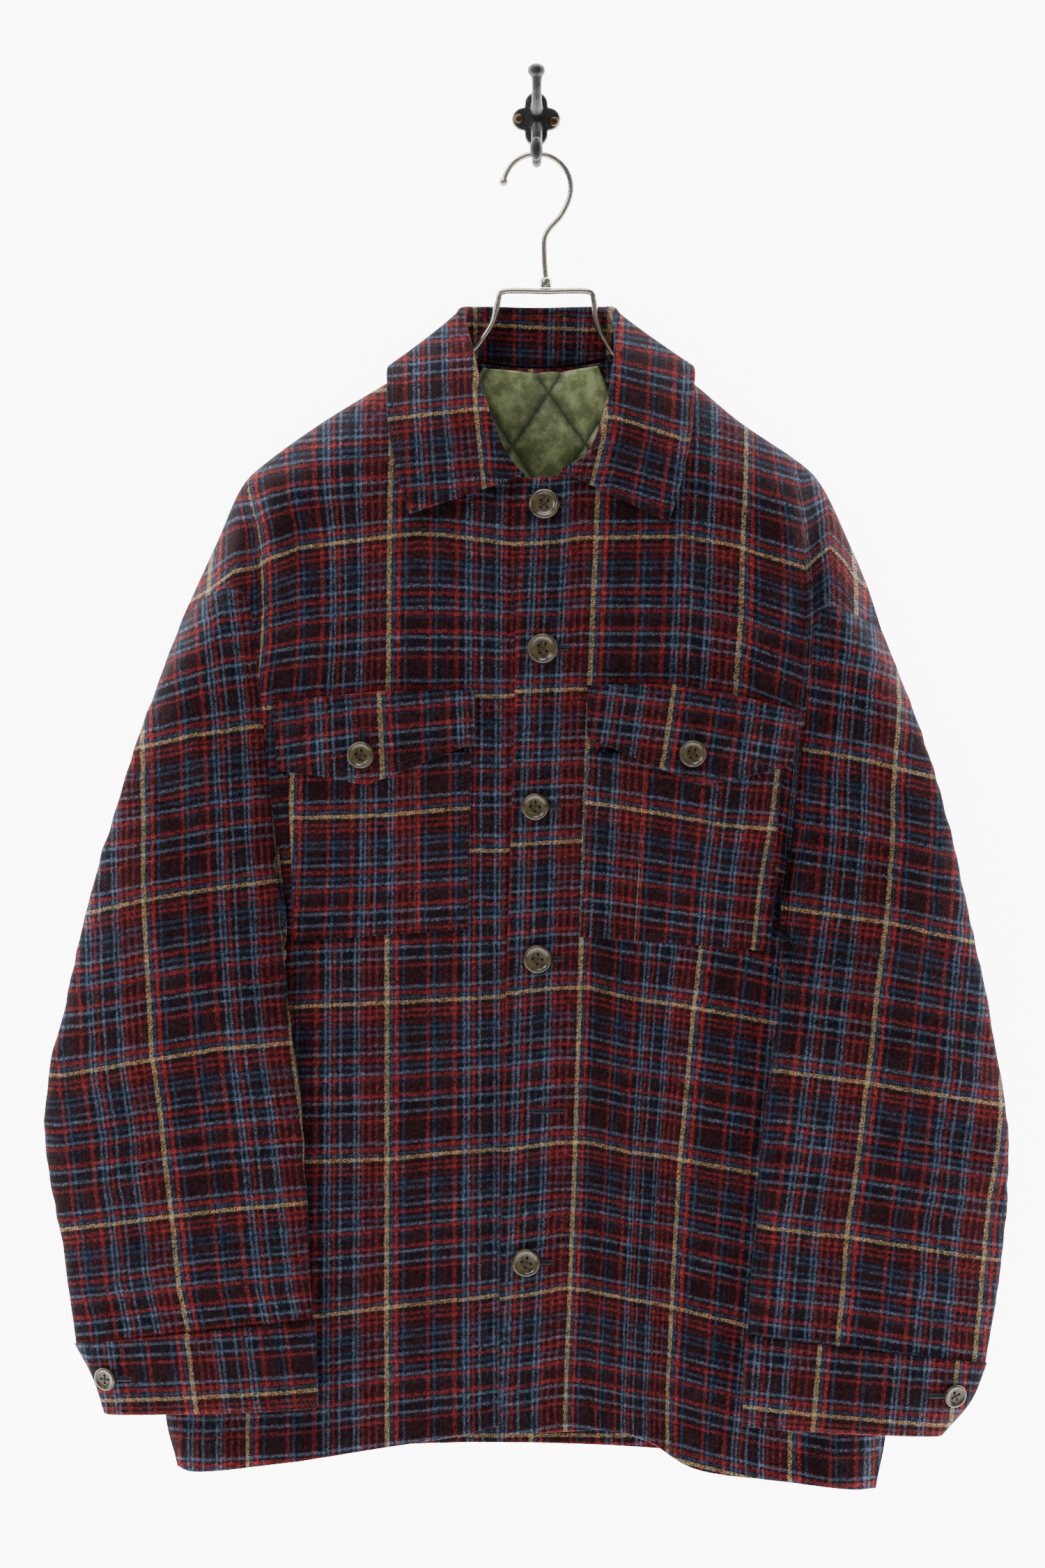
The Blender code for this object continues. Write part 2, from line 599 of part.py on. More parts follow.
def flap(side, panel):
    shares = even(FLAP_GRID[0])
    rows = np.linspace(0, 1, len(FLAP_TOP[side]))
    top, low = (np.stack([np.interp(shares, rows, np.array(line)[:, k]) for k in range(2)], axis=1)
                for line in (FLAP_TOP[side], FLAP_BOTTOM[side]))
    v = even(FLAP_GRID[1])[None, :, None]
    plan = (1 - v) * top[:, None] + v * low[:, None]
    return patch(f"pocket_flap_{side}", plan, panel, FLAP_LIFT, "wool")


def turned(name, profile, sides, kind):
    """A turned solid about Z from a profile of (radius, height), outer side from top to bottom."""
    mesh = bpy.data.meshes.new(name)
    points = [(r * MM, 0, h * MM) for r, h in profile]
    mesh.from_pydata(points, [(k, k + 1) for k in range(len(points) - 1)], [])
    thing = place(name, mesh, kind)
    screw = thing.modifiers.new("turn", "SCREW")
    screw.axis = "Z"
    screw.steps = screw.render_steps = sides
    screw.use_merge_vertices = True
    screw.merge_threshold = 0.00005
    return thing


def button(name, carrier, x, z, diameter):
    radius, height = diameter / 2, diameter * BUTTON_THICKNESS
    profile = [(0, height * 0.72), (radius * 0.66, height * 0.72), (radius * 0.8, height),
               (radius * 0.93, height * 0.92), (radius, height * 0.5), (radius * 0.8, 0), (0, 0)]
    thing = turned(name, profile, ROUND_SIDES, "horn")
    point, normal = hit_front(tree_of(carrier), x, z)
    middle = Vector(point + normal * BUTTON_LIFT) * MM
    turn = Vector(normal).to_track_quat("Z", "Y").to_matrix().to_4x4()
    thing.matrix_world = Matrix.Translation(middle) @ turn
    return thing


def lining(panel):
    """Quilted lining inside the upper back, its puffs raised on the side that shows through the neck."""
    half = LINING_HALF_WIDTH
    x = np.linspace(-half + 3, half + 3, LINING_COLUMNS + 1)
    neck = smooth(BACK_NECK, even(60))
    shoulders = {side: np.array(SHOULDER[side], float) for side in SHOULDER}
    top = np.interp(x, neck[:, 0], neck[:, 2])
    right = np.interp(-x, -shoulders["right"][:, 0], shoulders["right"][:, 2])
    left = np.interp(x, shoulders["left"][:, 0], shoulders["left"][:, 2])
    top = np.where(x < neck[0, 0], right, np.where(x > neck[-1, 0], left, top))
    drop = LINING_DIAMOND / 4
    start = top - LINING_TOP - np.where(np.abs(x - 3) > 50, 22, 0)
    plan_z = start[:, None] - np.arange(LINING_ROWS + 1)[None] * drop
    tree = tree_of(panel)
    grid = np.empty((LINING_COLUMNS + 1, LINING_ROWS + 1, 3))
    for i in range(LINING_COLUMNS + 1):
        for j in range(LINING_ROWS + 1):
            grid[i, j] = hit_front(tree, x[i], plan_z[i, j])[0]
    under = grid - np.array((0, LINING_LIFT, 0))
    i, j = np.indices(under.shape[:2])
    valley = np.minimum(np.abs((i + j + 2) % 4 - 2), np.abs((i - j + 2) % 4 - 2)) / 2
    puffed = under - np.array((0, 1, 0)) * (LINING_WALL + PUFF * valley)[..., None]
    return wall("lining_back", puffed, under, "lining")


def wire(name, route, diameter, kind, radii=None):
    curve = bpy.data.curves.new(name, "CURVE")
    curve.dimensions = "3D"
    curve.bevel_depth = diameter / 2 * MM
    curve.bevel_resolution = 2
    curve.use_fill_caps = True
    line = curve.splines.new("POLY")
    line.points.add(len(route) - 1)
    for k, point in enumerate(route):
        line.points[k].co = (*(np.asarray(point) * MM), 1)
        line.points[k].radius = 1 if radii is None else radii[k] / (diameter / 2)
    curve.materials.append(material(kind))
    thing = bpy.data.objects.new(name, curve)
    bpy.data.collections[COLLECTION].objects.link(thing)
    return thing


def solid_from_curve(thing):
    """The curve's evaluated tube as a welded mesh object of the same name."""
    name = thing.name
    evaluated = thing.evaluated_get(bpy.context.evaluated_depsgraph_get())
    mesh = bpy.data.meshes.new_from_object(evaluated)
    bm = bmesh.new()
    bm.from_mesh(mesh)
    bmesh.ops.remove_doubles(bm, verts=bm.verts, dist=0.00001)
    bm.to_mesh(mesh)
    bm.free()
    bpy.data.objects.remove(thing)
    made = bpy.data.objects.new(name, mesh)
    bpy.data.collections[COLLECTION].objects.link(made)
    return made


def hanger():
    turn = np.radians(np.linspace(HOOK_TIP_ANGLE, HOOK_LAST_ANGLE, HOOK_POINTS))
    arc = np.array(HOOK_CENTRE) + HOOK_RADIUS * np.stack([np.cos(turn), np.sin(turn)], axis=1)
    flat = chain(arc, smooth(np.vstack([arc[-1:], HOOK_NECK]), even(HOOK_POINTS - 1)))
    route = [(x, HANGER_Y, z) for x, z in flat]
    hook = solid_from_curve(wire("hanger_hook", route, HOOK_WIRE, "wire"))
    ball = bpy.data.meshes.new("ball")
    bm = bmesh.new()
    bmesh.ops.create_uvsphere(bm, u_segments=10, v_segments=7, radius=HOOK_BALL * MM)
    bmesh.ops.translate(bm, verts=bm.verts, vec=Vector(route[0]) * MM)
    bm.to_mesh(ball)
    bm.free()
    join(hook, [ball])
    hook.data.shade_smooth()
    x, radius, height = FERRULE
    top = HOOK_NECK[-1][1] - SEAM_GAP
    profile = [(0, height), (radius * 0.8, height), (radius, height * 0.8), (radius, 0), (0, 0)]
    ferrule = turned("hanger_ferrule", profile, ROUND_SIDES, "wire")
    ferrule.location = Vector((x, HANGER_Y, top - height)) * MM
    flat = smooth(YOKE, even(YOKE_POINTS))
    wire("hanger_yoke", [(x, HANGER_Y, z) for x, z in flat], YOKE_WIRE, "wire")


def join(thing, meshes):
    """Boolean union of a mesh object with more meshes; the cutters are removed again."""
    for mesh in meshes:
        other = bpy.data.objects.new("joined", mesh)
        bpy.data.collections["cutters"].objects.link(other)
        union = thing.modifiers.new("join", "BOOLEAN")
        union.operation = "UNION"
        union.solver = "EXACT"
        union.object = other
        bpy.context.view_layer.update()
        evaluated = thing.evaluated_get(bpy.context.evaluated_depsgraph_get())
        result = bpy.data.meshes.new_from_object(evaluated)
        thing.modifiers.clear()
        thing.data = result
        bpy.data.objects.remove(other)


def plate_outline():
    """Four round lobes about a round core, as one closed line of x, z."""
    turn = np.linspace(0, 2 * np.pi, 48, endpoint=False)
    direction = np.stack([np.cos(turn), np.sin(turn)], axis=1)
    reach = np.full(len(turn), PLATE_CORE, float)
    for cx, cz in ((PLATE_REACH[0], 0), (-PLATE_REACH[0], 0), (0, PLATE_REACH[1]), (0, -PLATE_REACH[1])):
        along = direction @ (cx, cz)
        inside = PLATE_LOBE**2 - (cx**2 + cz**2) + along**2
        reach = np.maximum(reach, np.where(inside > 0, along + np.sqrt(np.maximum(inside, 0)), 0))
    return direction * reach[:, None]


def knob_mesh(y, z, across, up):
    mesh = bpy.data.meshes.new("knob")
    bm = bmesh.new()
    bmesh.ops.create_uvsphere(bm, u_segments=14, v_segments=9, radius=1)
    for vertex in bm.verts:
        vertex.co = Vector((vertex.co.x * across, y + vertex.co.y * across, z + vertex.co.z * up)) * MM
    bm.to_mesh(mesh)
    bm.free()
    return mesh


def wall_hook():
    outline = plate_outline()
    bm = bmesh.new()
    back = [bm.verts.new(Vector((x, 0, z)) * MM) for x, z in outline]
    face = bm.faces.new(back)
    made = bmesh.ops.extrude_face_region(bm, geom=[face])["geom"]
    front = [item for item in made if isinstance(item, bmesh.types.BMVert)]
    for vertex in front:
        vertex.co = Vector((vertex.co.x * PLATE_TAPER, -PLATE_DEPTH * MM, vertex.co.z * PLATE_TAPER))
    bmesh.ops.recalc_face_normals(bm, faces=bm.faces)
    mesh = bpy.data.meshes.new("wall_hook")
    bm.to_mesh(mesh)
    bm.free()
    plate = place("wall_hook", mesh, "iron")
    arms = []
    for rows in (UPPER_ARM, LOWER_ARM):
        line = smooth(rows, even(ARM_POINTS))
        tube = wire("arm", [(0.3, y, z) for y, z, _ in line], 2, "iron", radii=line[:, 2])
        arm = solid_from_curve(tube)
        arms.append(arm.data.copy())
        bpy.data.objects.remove(arm)
    join(plate, arms + [knob_mesh(*UPPER_KNOB), knob_mesh(*LOWER_KNOB)])
    plate.data.shade_smooth()
    plate.data.set_sharp_from_angle(angle=np.radians(40))
    radius, height = SCREW_HEAD
    for letter, (x, z) in zip("ab", SCREWS):
        profile = [(0, height), (radius * 0.7, height * 0.85), (radius, height * 0.3), (radius, 0), (0, 0)]
        head = turned(f"hook_screw_{letter}", profile, ROUND_SIDES, "screw")
        head.matrix_world = (Matrix.Translation(Vector((x, -PLATE_DEPTH - SEAM_GAP, z)) * MM)
                             @ Matrix.Rotation(np.pi / 2, 4, "X"))


def empty_scene():
    for thing in list(bpy.data.objects):
        bpy.data.objects.remove(thing)
    for name in (COLLECTION, "cutters"):
        collection = bpy.data.collections.new(name)
        bpy.context.scene.collection.children.link(collection)


def garment():
    back = back_panel()
    lining(back)
    collar()
    fronts = {side: front_panel(side) for side in ("right", "left")}
    for number, (x, z, diameter) in enumerate(FRONT_BUTTONS, 1):
        button(f"button_front_{number}", fronts["left"], x, z, diameter)
    for side, front in fronts.items():
        sleeve(side, front)
        button(f"button_cuff_{side}", cuff(side, front), *CUFF_BUTTONS[side])
        pocket(side, front)
        button(f"button_flap_{side}", flap(side, front), *FLAP_BUTTONS[side])


empty_scene()
garment()
hanger()
wall_hook()
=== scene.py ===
"""Sizes are in millimetres and are turned to metres where a mesh is made; positions match the solids' frame.
"""

import bmesh
import bpy
import numpy as np
from mathutils import Matrix, Vector
from mathutils.bvhtree import BVHTree


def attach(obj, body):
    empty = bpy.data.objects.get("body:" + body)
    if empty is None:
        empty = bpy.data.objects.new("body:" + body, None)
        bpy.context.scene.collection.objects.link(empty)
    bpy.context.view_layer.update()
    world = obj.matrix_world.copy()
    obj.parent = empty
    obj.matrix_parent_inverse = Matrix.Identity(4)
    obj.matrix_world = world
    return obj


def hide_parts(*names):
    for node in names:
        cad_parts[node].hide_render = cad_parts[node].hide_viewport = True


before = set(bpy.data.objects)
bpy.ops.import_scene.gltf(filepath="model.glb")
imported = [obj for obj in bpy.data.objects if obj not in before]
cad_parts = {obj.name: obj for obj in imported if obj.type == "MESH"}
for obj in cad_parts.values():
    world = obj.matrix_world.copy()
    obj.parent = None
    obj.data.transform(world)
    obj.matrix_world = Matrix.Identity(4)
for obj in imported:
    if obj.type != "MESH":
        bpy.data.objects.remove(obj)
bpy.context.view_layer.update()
BODY = "root"
MM = 0.001

PLATE_PX = (770, 157)  # the frame's origin in the photograph, where a pixel is half a millimetre
PHOTO_SIZE = (1500, 2250)
SIDES = ("right", "left")
SIGN = {"right": -1, "left": 1}  # which way each of the wearer's sides lies along x

# Cloth walls, and how far each layer lies from what is behind it.
WOOL = 2.4
CUFF_WALL = WOOL + 0.8
COLLAR_WALL = 2.8
COLLAR_BEND = 2.6  # radius of the fold between stand and fall
POCKET_WALL = 2.0
POCKET_LIFT = 1.4
FLAP_LIFT = 4.9
SEAM_GAP = 0.34
SLEEVE_CLEARANCE = 3.2
ARMPIT_EXTRA = 7.0  # more clearance at the armhole, fading out over the next rows
ARMPIT_ROWS = 36
EDGE_BULGE = 0.3  # how round a cloth edge is, as a share of the wall
FRONT_DEPTH_SHARE = 0.5  # share of a tube's depth that counts along its check

# Steps of the grids.
ACROSS = 6
DOWN = 8
RING = 8
ARMHOLE_STEPS = 11 * DOWN
SIDE_STEPS = 11 * DOWN
HALF_RING = 11 * RING
NECK_STEPS = 5 * ACROSS
SHOULDER_STEPS = 8 * ACROSS
BACK_NECK_STEPS = 8 * ACROSS
SLEEVE_STEPS = 114
CUFF_STEPS = 16
COLLAR_STEPS = 168  # from one end of the collar to the other
STAND_ROWS, BEND_ROWS, FALL_ROWS = 14, 9, 28
POCKET_STEPS = 60
FLAP_STEPS = (72, 30)
EDGE_SHARES = ((0, 8, 10, 11, 22), (0, 0.35, 0.56, 0.64, 1))  # where the front edge's rows lie along it
ARMHOLE_CORNER = 9  # the armhole's row at the inner edge of the sleeve's sections
UNDERARM_TURN = 1.22 * np.pi  # the sections' angle at the underarm
RIPPLE_SEEDS = {"front": {"right": 3, "left": 4}, "back": 5, "sleeve": {"right": 7, "left": 8}}

# Stitching: pitch and thread, the worked buttonholes' own, and how far each line lies from its edge.
STITCH_PITCH, STITCH_SHARE, THREAD_RADIUS = 3.0, 0.62, 0.22
STITCH_RISE = (-0.35, 0.1, 0.16, 0.1, -0.35)
SATIN_PITCH, SATIN_RADIUS = 0.62, 0.3
EDGE_STITCH = 5.0
HEM_DEPTH = 20.0

# Shoulder seams, from the neck point to the sleeve: columns x, y, z.
SHOULDER = {
    "right": [(-64, -26, -166), (-104, -24, -191), (-154, -24, -221.5), (-196, -24, -251.5),
              (-214, -24, -270), (-230, -24, -306), (-246, -24, -341), (-256, -24, -363)],
    "left": [(70, -26, -166), (110, -24, -191), (147, -24, -221.5), (191, -24, -251.5), (208, -24, -270),
             (226, -24, -308), (240, -24, -341), (250, -24, -372)],
}

# Front half of each armhole seam, from the shoulder seam down to the underarm: columns x, y, z.
ARMHOLE_FRONT = {
    "right": [(-256, -24, -363), (-237, -52, -349), (-219, -68, -344), (-206, -71, -354), (-200, -68, -400),
              (-194, -64, -460), (-186, -61, -535), (-182, -58, -578), (-190, -51, -596), (-212, -43, -601),
              (-238, -35, -603)],
    "left": [(250, -24, -372), (232, -52, -364), (213, -68, -357), (201, -71, -366), (196, -68, -405),
             (190, -66, -463), (182, -63.5, -535), (177, -62, -578), (185, -57, -596), (207, -48.5, -600),
             (232, -35, -603)],
}

# Back half of each armhole seam, from the shoulder seam down to the underarm: columns x, y, z.
ARMHOLE_BACK = {
    "right": [(-256, -24, -363), (-249, -13, -385), (-244, -9, -440), (-241, -10, -510), (-240, -20, -568),
              (-238, -35, -603)],
    "left": [(250, -24, -372), (243, -13, -392), (238, -9, -445), (235, -10, -515), (234, -20, -568),
             (232, -35, -603)],
}

# Side seams, from the underarm to the hem: columns x, y, z.
SIDE = {
    "right": [(-238, -35, -603), (-248, -33, -690), (-260, -31, -800), (-269, -28, -925), (-260, -27, -977)],
    "left": [(232, -35, -603), (240, -33, -690), (249, -31, -800), (254, -28, -935), (246, -27, -993)],
}

# Front neckline, from the front edge up to the neck point: columns x, y, z.
NECK = {
    "right": [(14, -74, -266), (-16, -74.5, -264), (-32, -74, -254), (-46, -67, -232), (-58, -50, -200),
              (-64, -26, -166)],
    "left": [(-14.5, -79, -266), (14, -79, -264), (34, -77, -254), (51, -70, -234), (64, -51, -201),
             (70, -26, -166)],
}
BACK_NECK = [(-64, -26, -166), (-44, -15, -178), (0, -11, -183), (48, -15, -178), (70, -26, -166)]

# Front edges, neck to hem: columns x, y, z. The right one lies under the left one.
FRONT_EDGE = {
    "right": [(14, -74, -266), (14, -84.5, -330), (13, -89, -450), (10, -83.5, -620), (8, -71.5, -800),
              (8, -61.5, -946)],
    "left": [(-14.5, -79, -266), (-14.5, -89.5, -330), (-15.5, -93.5, -450), (-21, -87.5, -620),
             (-25, -75.5, -800), (-26, -65.5, -950)],
}

# Hems, from the front edge to the side seam: columns x, y, z.
HEM = {
    "right": [(8, -61.5, -946), (-26, -62, -944), (-58, -62, -952), (-105, -60, -959.5), (-175, -54, -970.5),
              (-225, -45, -978), (-250, -36, -980), (-260, -27, -977)],
    "left": [(-26, -65.5, -950), (15, -65, -948), (50, -65, -946), (81, -61, -956), (115, -58, -976),
             (180, -53, -985), (225, -44, -992), (246, -27, -993)],
}
BACK_HEM = [(-260, -27, -977), (-250, -14, -976), (-215, -9, -970), (-95, -8, -963), (0, -8, -962),
            (110, -8, -968), (205, -9, -985), (236, -14, -992), (246, -27, -993)]

# Large folds that run down the fronts: x and z of both ends, depth (positive sinks in) and width.
FOLDS = {
    "right": [(-208, -262, -201, -345, 9, 9), (-70, -640, -84, -950, 4, 26),
              (-150, -600, -168, -960, -4, 24)],
    "left": [(201, -262, 197, -350, 9, 9), (33, -612, 41, -946, -6, 16), (88, -560, 96, -960, 5, 22),
             (160, -640, 172, -980, -3, 22)],
}

# Sleeve sections below the armhole, each seen from the front: x and z of the outer edge, x and z of the inner
# edge, y of both edges, and how far the front and the back of the section stand away from that line.
SLEEVE = {
    "right": [
        # outer x, outer z, inner x, inner z, outer y, inner y, front, back
        (-289, -456, -180, -626, -42, -76, 24, 12),
        (-318, -555, -178, -640, -50, -82, 26, 14),
        (-336, -632, -175, -660, -56, -84, 25, 17),
        (-351, -701, -170.5, -690, -58, -84, 23, 19),
        (-352, -748, -167, -730, -58, -82, 22, 18),
        (-342, -806, -164, -784, -56, -79, 21, 17),
        (-331, -885, -160, -866, -54, -76, 19, 15),
    ],
    "left": [
        (283, -462, 176, -627, -42, -76, 24, 12),
        (308, -560, 174, -641, -50, -82, 26, 14),
        (322, -634, 171, -661, -56, -84, 25, 17),
        (336, -706, 166, -698, -58, -84, 23, 19),
        (339, -756, 161, -738, -58, -82, 22, 18),
        (335, -820, 157, -790, -56, -79, 21, 17),
        (323, -899, 151, -877, -54, -76, 19, 15),
    ],
}

# Cuff sections, top to bottom, in the same columns.
CUFF = {
    "right": [(-332, -886, -158, -866.5, -54, -76, 21, 17), (-319, -911, -156.5, -899, -53, -75, 21, 17),
              (-311, -936, -156, -929, -52, -74, 20, 16)],
    "left": [(324, -900, 149, -877.5, -54, -76, 21, 17), (313, -927, 148, -911, -53, -75, 21, 17),
             (292, -952, 147, -942, -52, -74, 20, 16)],
}

# Collar, front end on the right round the back to the left: x, y, z of the neck seam, of the fold, and of the
# outer edge of the fall.
COLLAR = [
    ((-9, -80.5, -263.5), (-12, -86, -262.5), (-90, -91.5, -291)),
    ((-30, -78, -254), (-28, -86.5, -240), (-99, -86, -262)),
    ((-42.5, -71, -229.5), (-41, -79, -204), (-105, -72, -230)),
    ((-53, -53, -195.5), (-49.5, -58, -168), (-107, -51, -199)),
    ((-60.5, -28, -161.5), (-54.5, -32, -143), (-103, -25, -181)),
    ((-43, -13.6, -174), (-42, -15.5, -139), (-66, -4.8, -193)),
    ((0, -10.8, -180), (0, -13, -139.5), (0, -4.6, -200)),
    ((47, -13.6, -174), (45, -15.5, -139), (72, -4.8, -193)),
    ((66, -28, -161.5), (57, -32, -143), (110, -25, -181)),
    ((59, -55, -196), (59.5, -60, -170), (113, -51, -201)),
    ((47, -73, -229.5), (54.5, -80, -204), (110, -72, -234)),
    ((33, -79.8, -253.9), (45, -87, -243), (103, -86, -266)),
    ((18, -82.3, -263.5), (20, -88, -260), (94, -92, -296.5)),
]

# Chest pockets: corners at the top outer, top inner, bottom inner and bottom outer, columns x, z.
POCKET = {
    "right": [(-178, -462), (-47.5, -462), (-49.5, -587), (-173, -596)],
    "left": [(175, -462), (36.5, -462), (31, -592), (167, -603)],
}
# Flaps: top and lower edge, outer end to inner end, columns x, z; both edges have the same number of rows.
FLAP_TOP = {
    "right": [(-189, -425), (-150, -422), (-109, -418), (-75, -418), (-44.5, -418)],
    "left": [(188, -432.5), (150, -423), (98, -413.5), (66, -413.5), (36.5, -414.5)],
}
FLAP_BOTTOM = {
    "right": [(-185, -474), (-148, -479), (-122, -484.5), (-84, -470), (-44.5, -454)],
    "left": [(183, -470), (140, -481), (115.5, -484.5), (80, -469), (36.5, -451)],
}

# Buttons: x, z of the middle and the diameter.
FRONT_BUTTONS = [(5.5, -285, 22), (4.5, -387.5, 21.5), (-1, -500, 19.5), (0.5, -608.5, 20.5),
                 (-7.5, -826, 20.5)]
FLAP_BUTTONS = {"right": (-125, -463.5, 19.5), "left": (111, -462.5, 19.5)}
CUFF_BUTTONS = {"right": (-308, -909.5, 17), "left": (299, -921.5, 17)}
BUTTON_THICKNESS = 0.19  # of the diameter
# Turned profiles, from the top down: shares of the radius and the height.
BUTTON_PROFILE = [(0, 0.66), (0.25, 0.66), (0.5, 0.66), (0.66, 0.7), (0.74, 0.86), (0.8, 0.98), (0.87, 1),
                  (0.94, 0.92), (0.99, 0.7), (1, 0.5), (0.97, 0.25), (0.86, 0.06), (0.7, 0), (0, 0)]
FERRULE_PROFILE = [(0, 1), (0.7, 1), (0.9, 0.93), (1, 0.8), (1, 0.16), (0.9, 0.04), (0.7, 0), (0, 0)]
SCREW_PROFILE = [(0, 1), (0.5, 0.98), (0.8, 0.8), (0.97, 0.4), (1, 0.1), (1, 0), (0, 0)]
HOLE_PLACES = 0.17  # of the diameter, from the button's middle to each thread hole
HOLE_RADIUS = 0.9
BUTTON_LIFT = 0.6

# Lining of the back, seen through the neck.
LINING_WALL = 2.0
LINING_PUFF = 3.6  # height of a plump diamond over its stitched valleys
LINING_MIDDLE = 3
LINING_HALF_WIDTH = 106
LINING_DIAMOND = 79.0  # height of one quilted diamond
LINING_COLUMNS = 16
LINING_ROWS = 11
LINING_FINE = 8  # grid steps in each of those columns and rows
LINING_TOP = 3.5  # below the neck seam
LINING_LIFT = 1.3  # air between the lining and the back panel
QUILT_SHIFT = (0.45, 0.7)  # columns and rows by which the stitched diamonds lie off the lining's own grid

# The hanger: the hook's route from its ball tip to the ferrule, and the yoke's route across the bar.
HANGER_Y = -25.5
WIRE = 4.5
HOOK_CENTRE = (0.5, -52.5)
HOOK_RADIUS = 24.5
HOOK_NECK = [(22, -65), (17, -74), (9, -83), (5.8, -90), (5.8, -104), (6.8, -117.5)]
HOOK_TIP_ANGLE = 170
HOOK_LAST_ANGLE = -22
HOOK_BALL = 3.4
FERRULE = (6.8, 4.4, 7.0)  # x, radius, height
BAR_Z = -127.5
YOKE = [(-201, -270), (-188, -258), (-150, -231.5), (-105, -204), (-66, -182), (-47, -171), (-37.5, -159.5),
        (-31, -148.5), (-27.5, -134), (-23, BAR_Z), (7, BAR_Z), (37, BAR_Z), (41.5, -134), (43.5, -148.5),
        (50, -163), (64, -180), (105, -202.5), (150, -235), (183, -259), (196, -269)]

# The wall hook's plate and its screws.
PLATE_DEPTH = 4.0
SCREWS = [(-12.6, 0), (12.8, -2)]
SCREW_HEAD = (3.5, 1.5)  # radius, height
SLOT = (4.2, 0.8, 0.9)

# The studio, in metres: camera, wall and floor, and lamps with their place, power and size.
CAMERA_DISTANCE, FRAME_HEIGHT = 4.0, 1.125
CAMERA_AIM_Y = -60  # millimetres
SENSOR = 36
WALL_Y, WALL_TOP = 0.002, 2.4
FLOOR_Z, FLOOR_FRONT = -2.2, -6
STAGE_REACH = 4
LAMPS = [("key", (-1.8, -2.0, 1.1), 34, 0.9), ("fill", (2.2, -2.6, -0.1), 7, 1.8),
         ("top", (-0.2, -1.1, 1.4), 20, 0.9)]
LIT_POINT = (0, -0.05, -0.5)


def unit(vectors):
    vectors = np.asarray(vectors, float)
    return vectors / np.maximum(np.linalg.norm(vectors, axis=-1, keepdims=True), 1e-9)


def even(steps):
    return np.linspace(0, 1, steps + 1)


def shares_of(grid):
    """Shares of the way across and down a grid, as a column and a row."""
    return even(grid.shape[0] - 1)[:, None], even(grid.shape[1] - 1)[None]


def lengths(line):
    """The length run along a line at each of its points."""
    return np.concatenate([[0], np.cumsum(np.linalg.norm(np.diff(line, axis=0), axis=1))])


def chain(*edges):
    """Joins edges that share their end points."""
    return np.vstack([edges[0]] + [edge[1:] for edge in edges[1:]])


def curve_through(rows, samples=40):
    """A smooth curve through the rows, with the same number of samples between each two."""
    rows = np.asarray(rows, float)
    before = np.vstack([2 * rows[0] - rows[1], rows[:-1]])
    after = np.vstack([rows[1:], 2 * rows[-1] - rows[-2]])
    slope = (after - before) / 2
    t = np.linspace(0, 1, samples, endpoint=False)[:, None]
    pieces = [(2 * t**3 - 3 * t**2 + 1) * a + (t**3 - 2 * t**2 + t) * m + (3 * t**2 - 2 * t**3) * b
              + (t**3 - t**2) * n for a, b, m, n in zip(rows[:-1], rows[1:], slope[:-1], slope[1:])]
    return np.vstack(pieces + [rows[-1:]])


def sampled(line, along, at):
    return np.stack([np.interp(at, along, line[:, k]) for k in range(line.shape[1])], axis=1)


def by_row(rows, shares):
    """Points on the curve through the rows, at the given shares of the rows' count."""
    line = curve_through(rows)
    return sampled(line, np.linspace(0, 1, len(line)), shares)


def smooth(rows, shares):
    """Points at the given shares of the length of a smooth curve through the rows."""
    line = curve_through(rows)
    length = lengths(line)
    return sampled(line, length / length[-1], shares)


def armhole_normal(side, points):
    """Outward direction of the cloth on the armhole seam, which the panels and the sleeve share."""
    return unit((points - (SIGN[side] * 180.0, -38.0, -472.0)) / np.array([60.0, 30.0, 115.0]) ** 2)


def add(name, data):
    """A new object of the data, in the scene."""
    thing = bpy.data.objects.new(name, data)
    bpy.context.scene.collection.objects.link(thing)
    return thing


def rider(name, mesh, *nodes):
    """A mesh as an object that rides on the body and stands for its nodes."""
    thing = add(name, mesh)
    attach(thing, BODY)
    if nodes:
        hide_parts(*nodes)
    return thing


def grid_normals(grid, outward):
    """Normals of a grid of points, turned to the side that outward names for its middle."""
    normals = unit(np.cross(np.gradient(grid, axis=0), np.gradient(grid, axis=1)))
    middle = normals[normals.shape[0] // 2, normals.shape[1] // 2]
    return -normals if np.dot(middle, outward) < 0 else normals


def tube_normals(grid):
    """Normals of a tube whose last column repeats its first, pointing out of it."""
    along = np.gradient(grid, axis=0)
    ends = (grid[1] - grid[-2]) / 2
    along[0], along[-1] = ends, ends
    normals = unit(np.cross(along, np.gradient(grid, axis=1)))
    away = grid - grid.mean(axis=0, keepdims=True)
    return -normals if (normals * away).sum() < 0 else normals


def piece(name, mesh, material, *nodes, smooth_angle=60):
    """A finished mesh as a rider with smooth shading, apart from its sharper edges."""
    mesh.materials.append(material)
    mesh.shade_smooth()
    mesh.set_sharp_from_angle(angle=np.radians(smooth_angle))
    return rider(name, mesh, *nodes)


def mesh_of(bm, name):
    mesh = bpy.data.meshes.new(name)
    bm.to_mesh(mesh)
    bm.free()
    return mesh


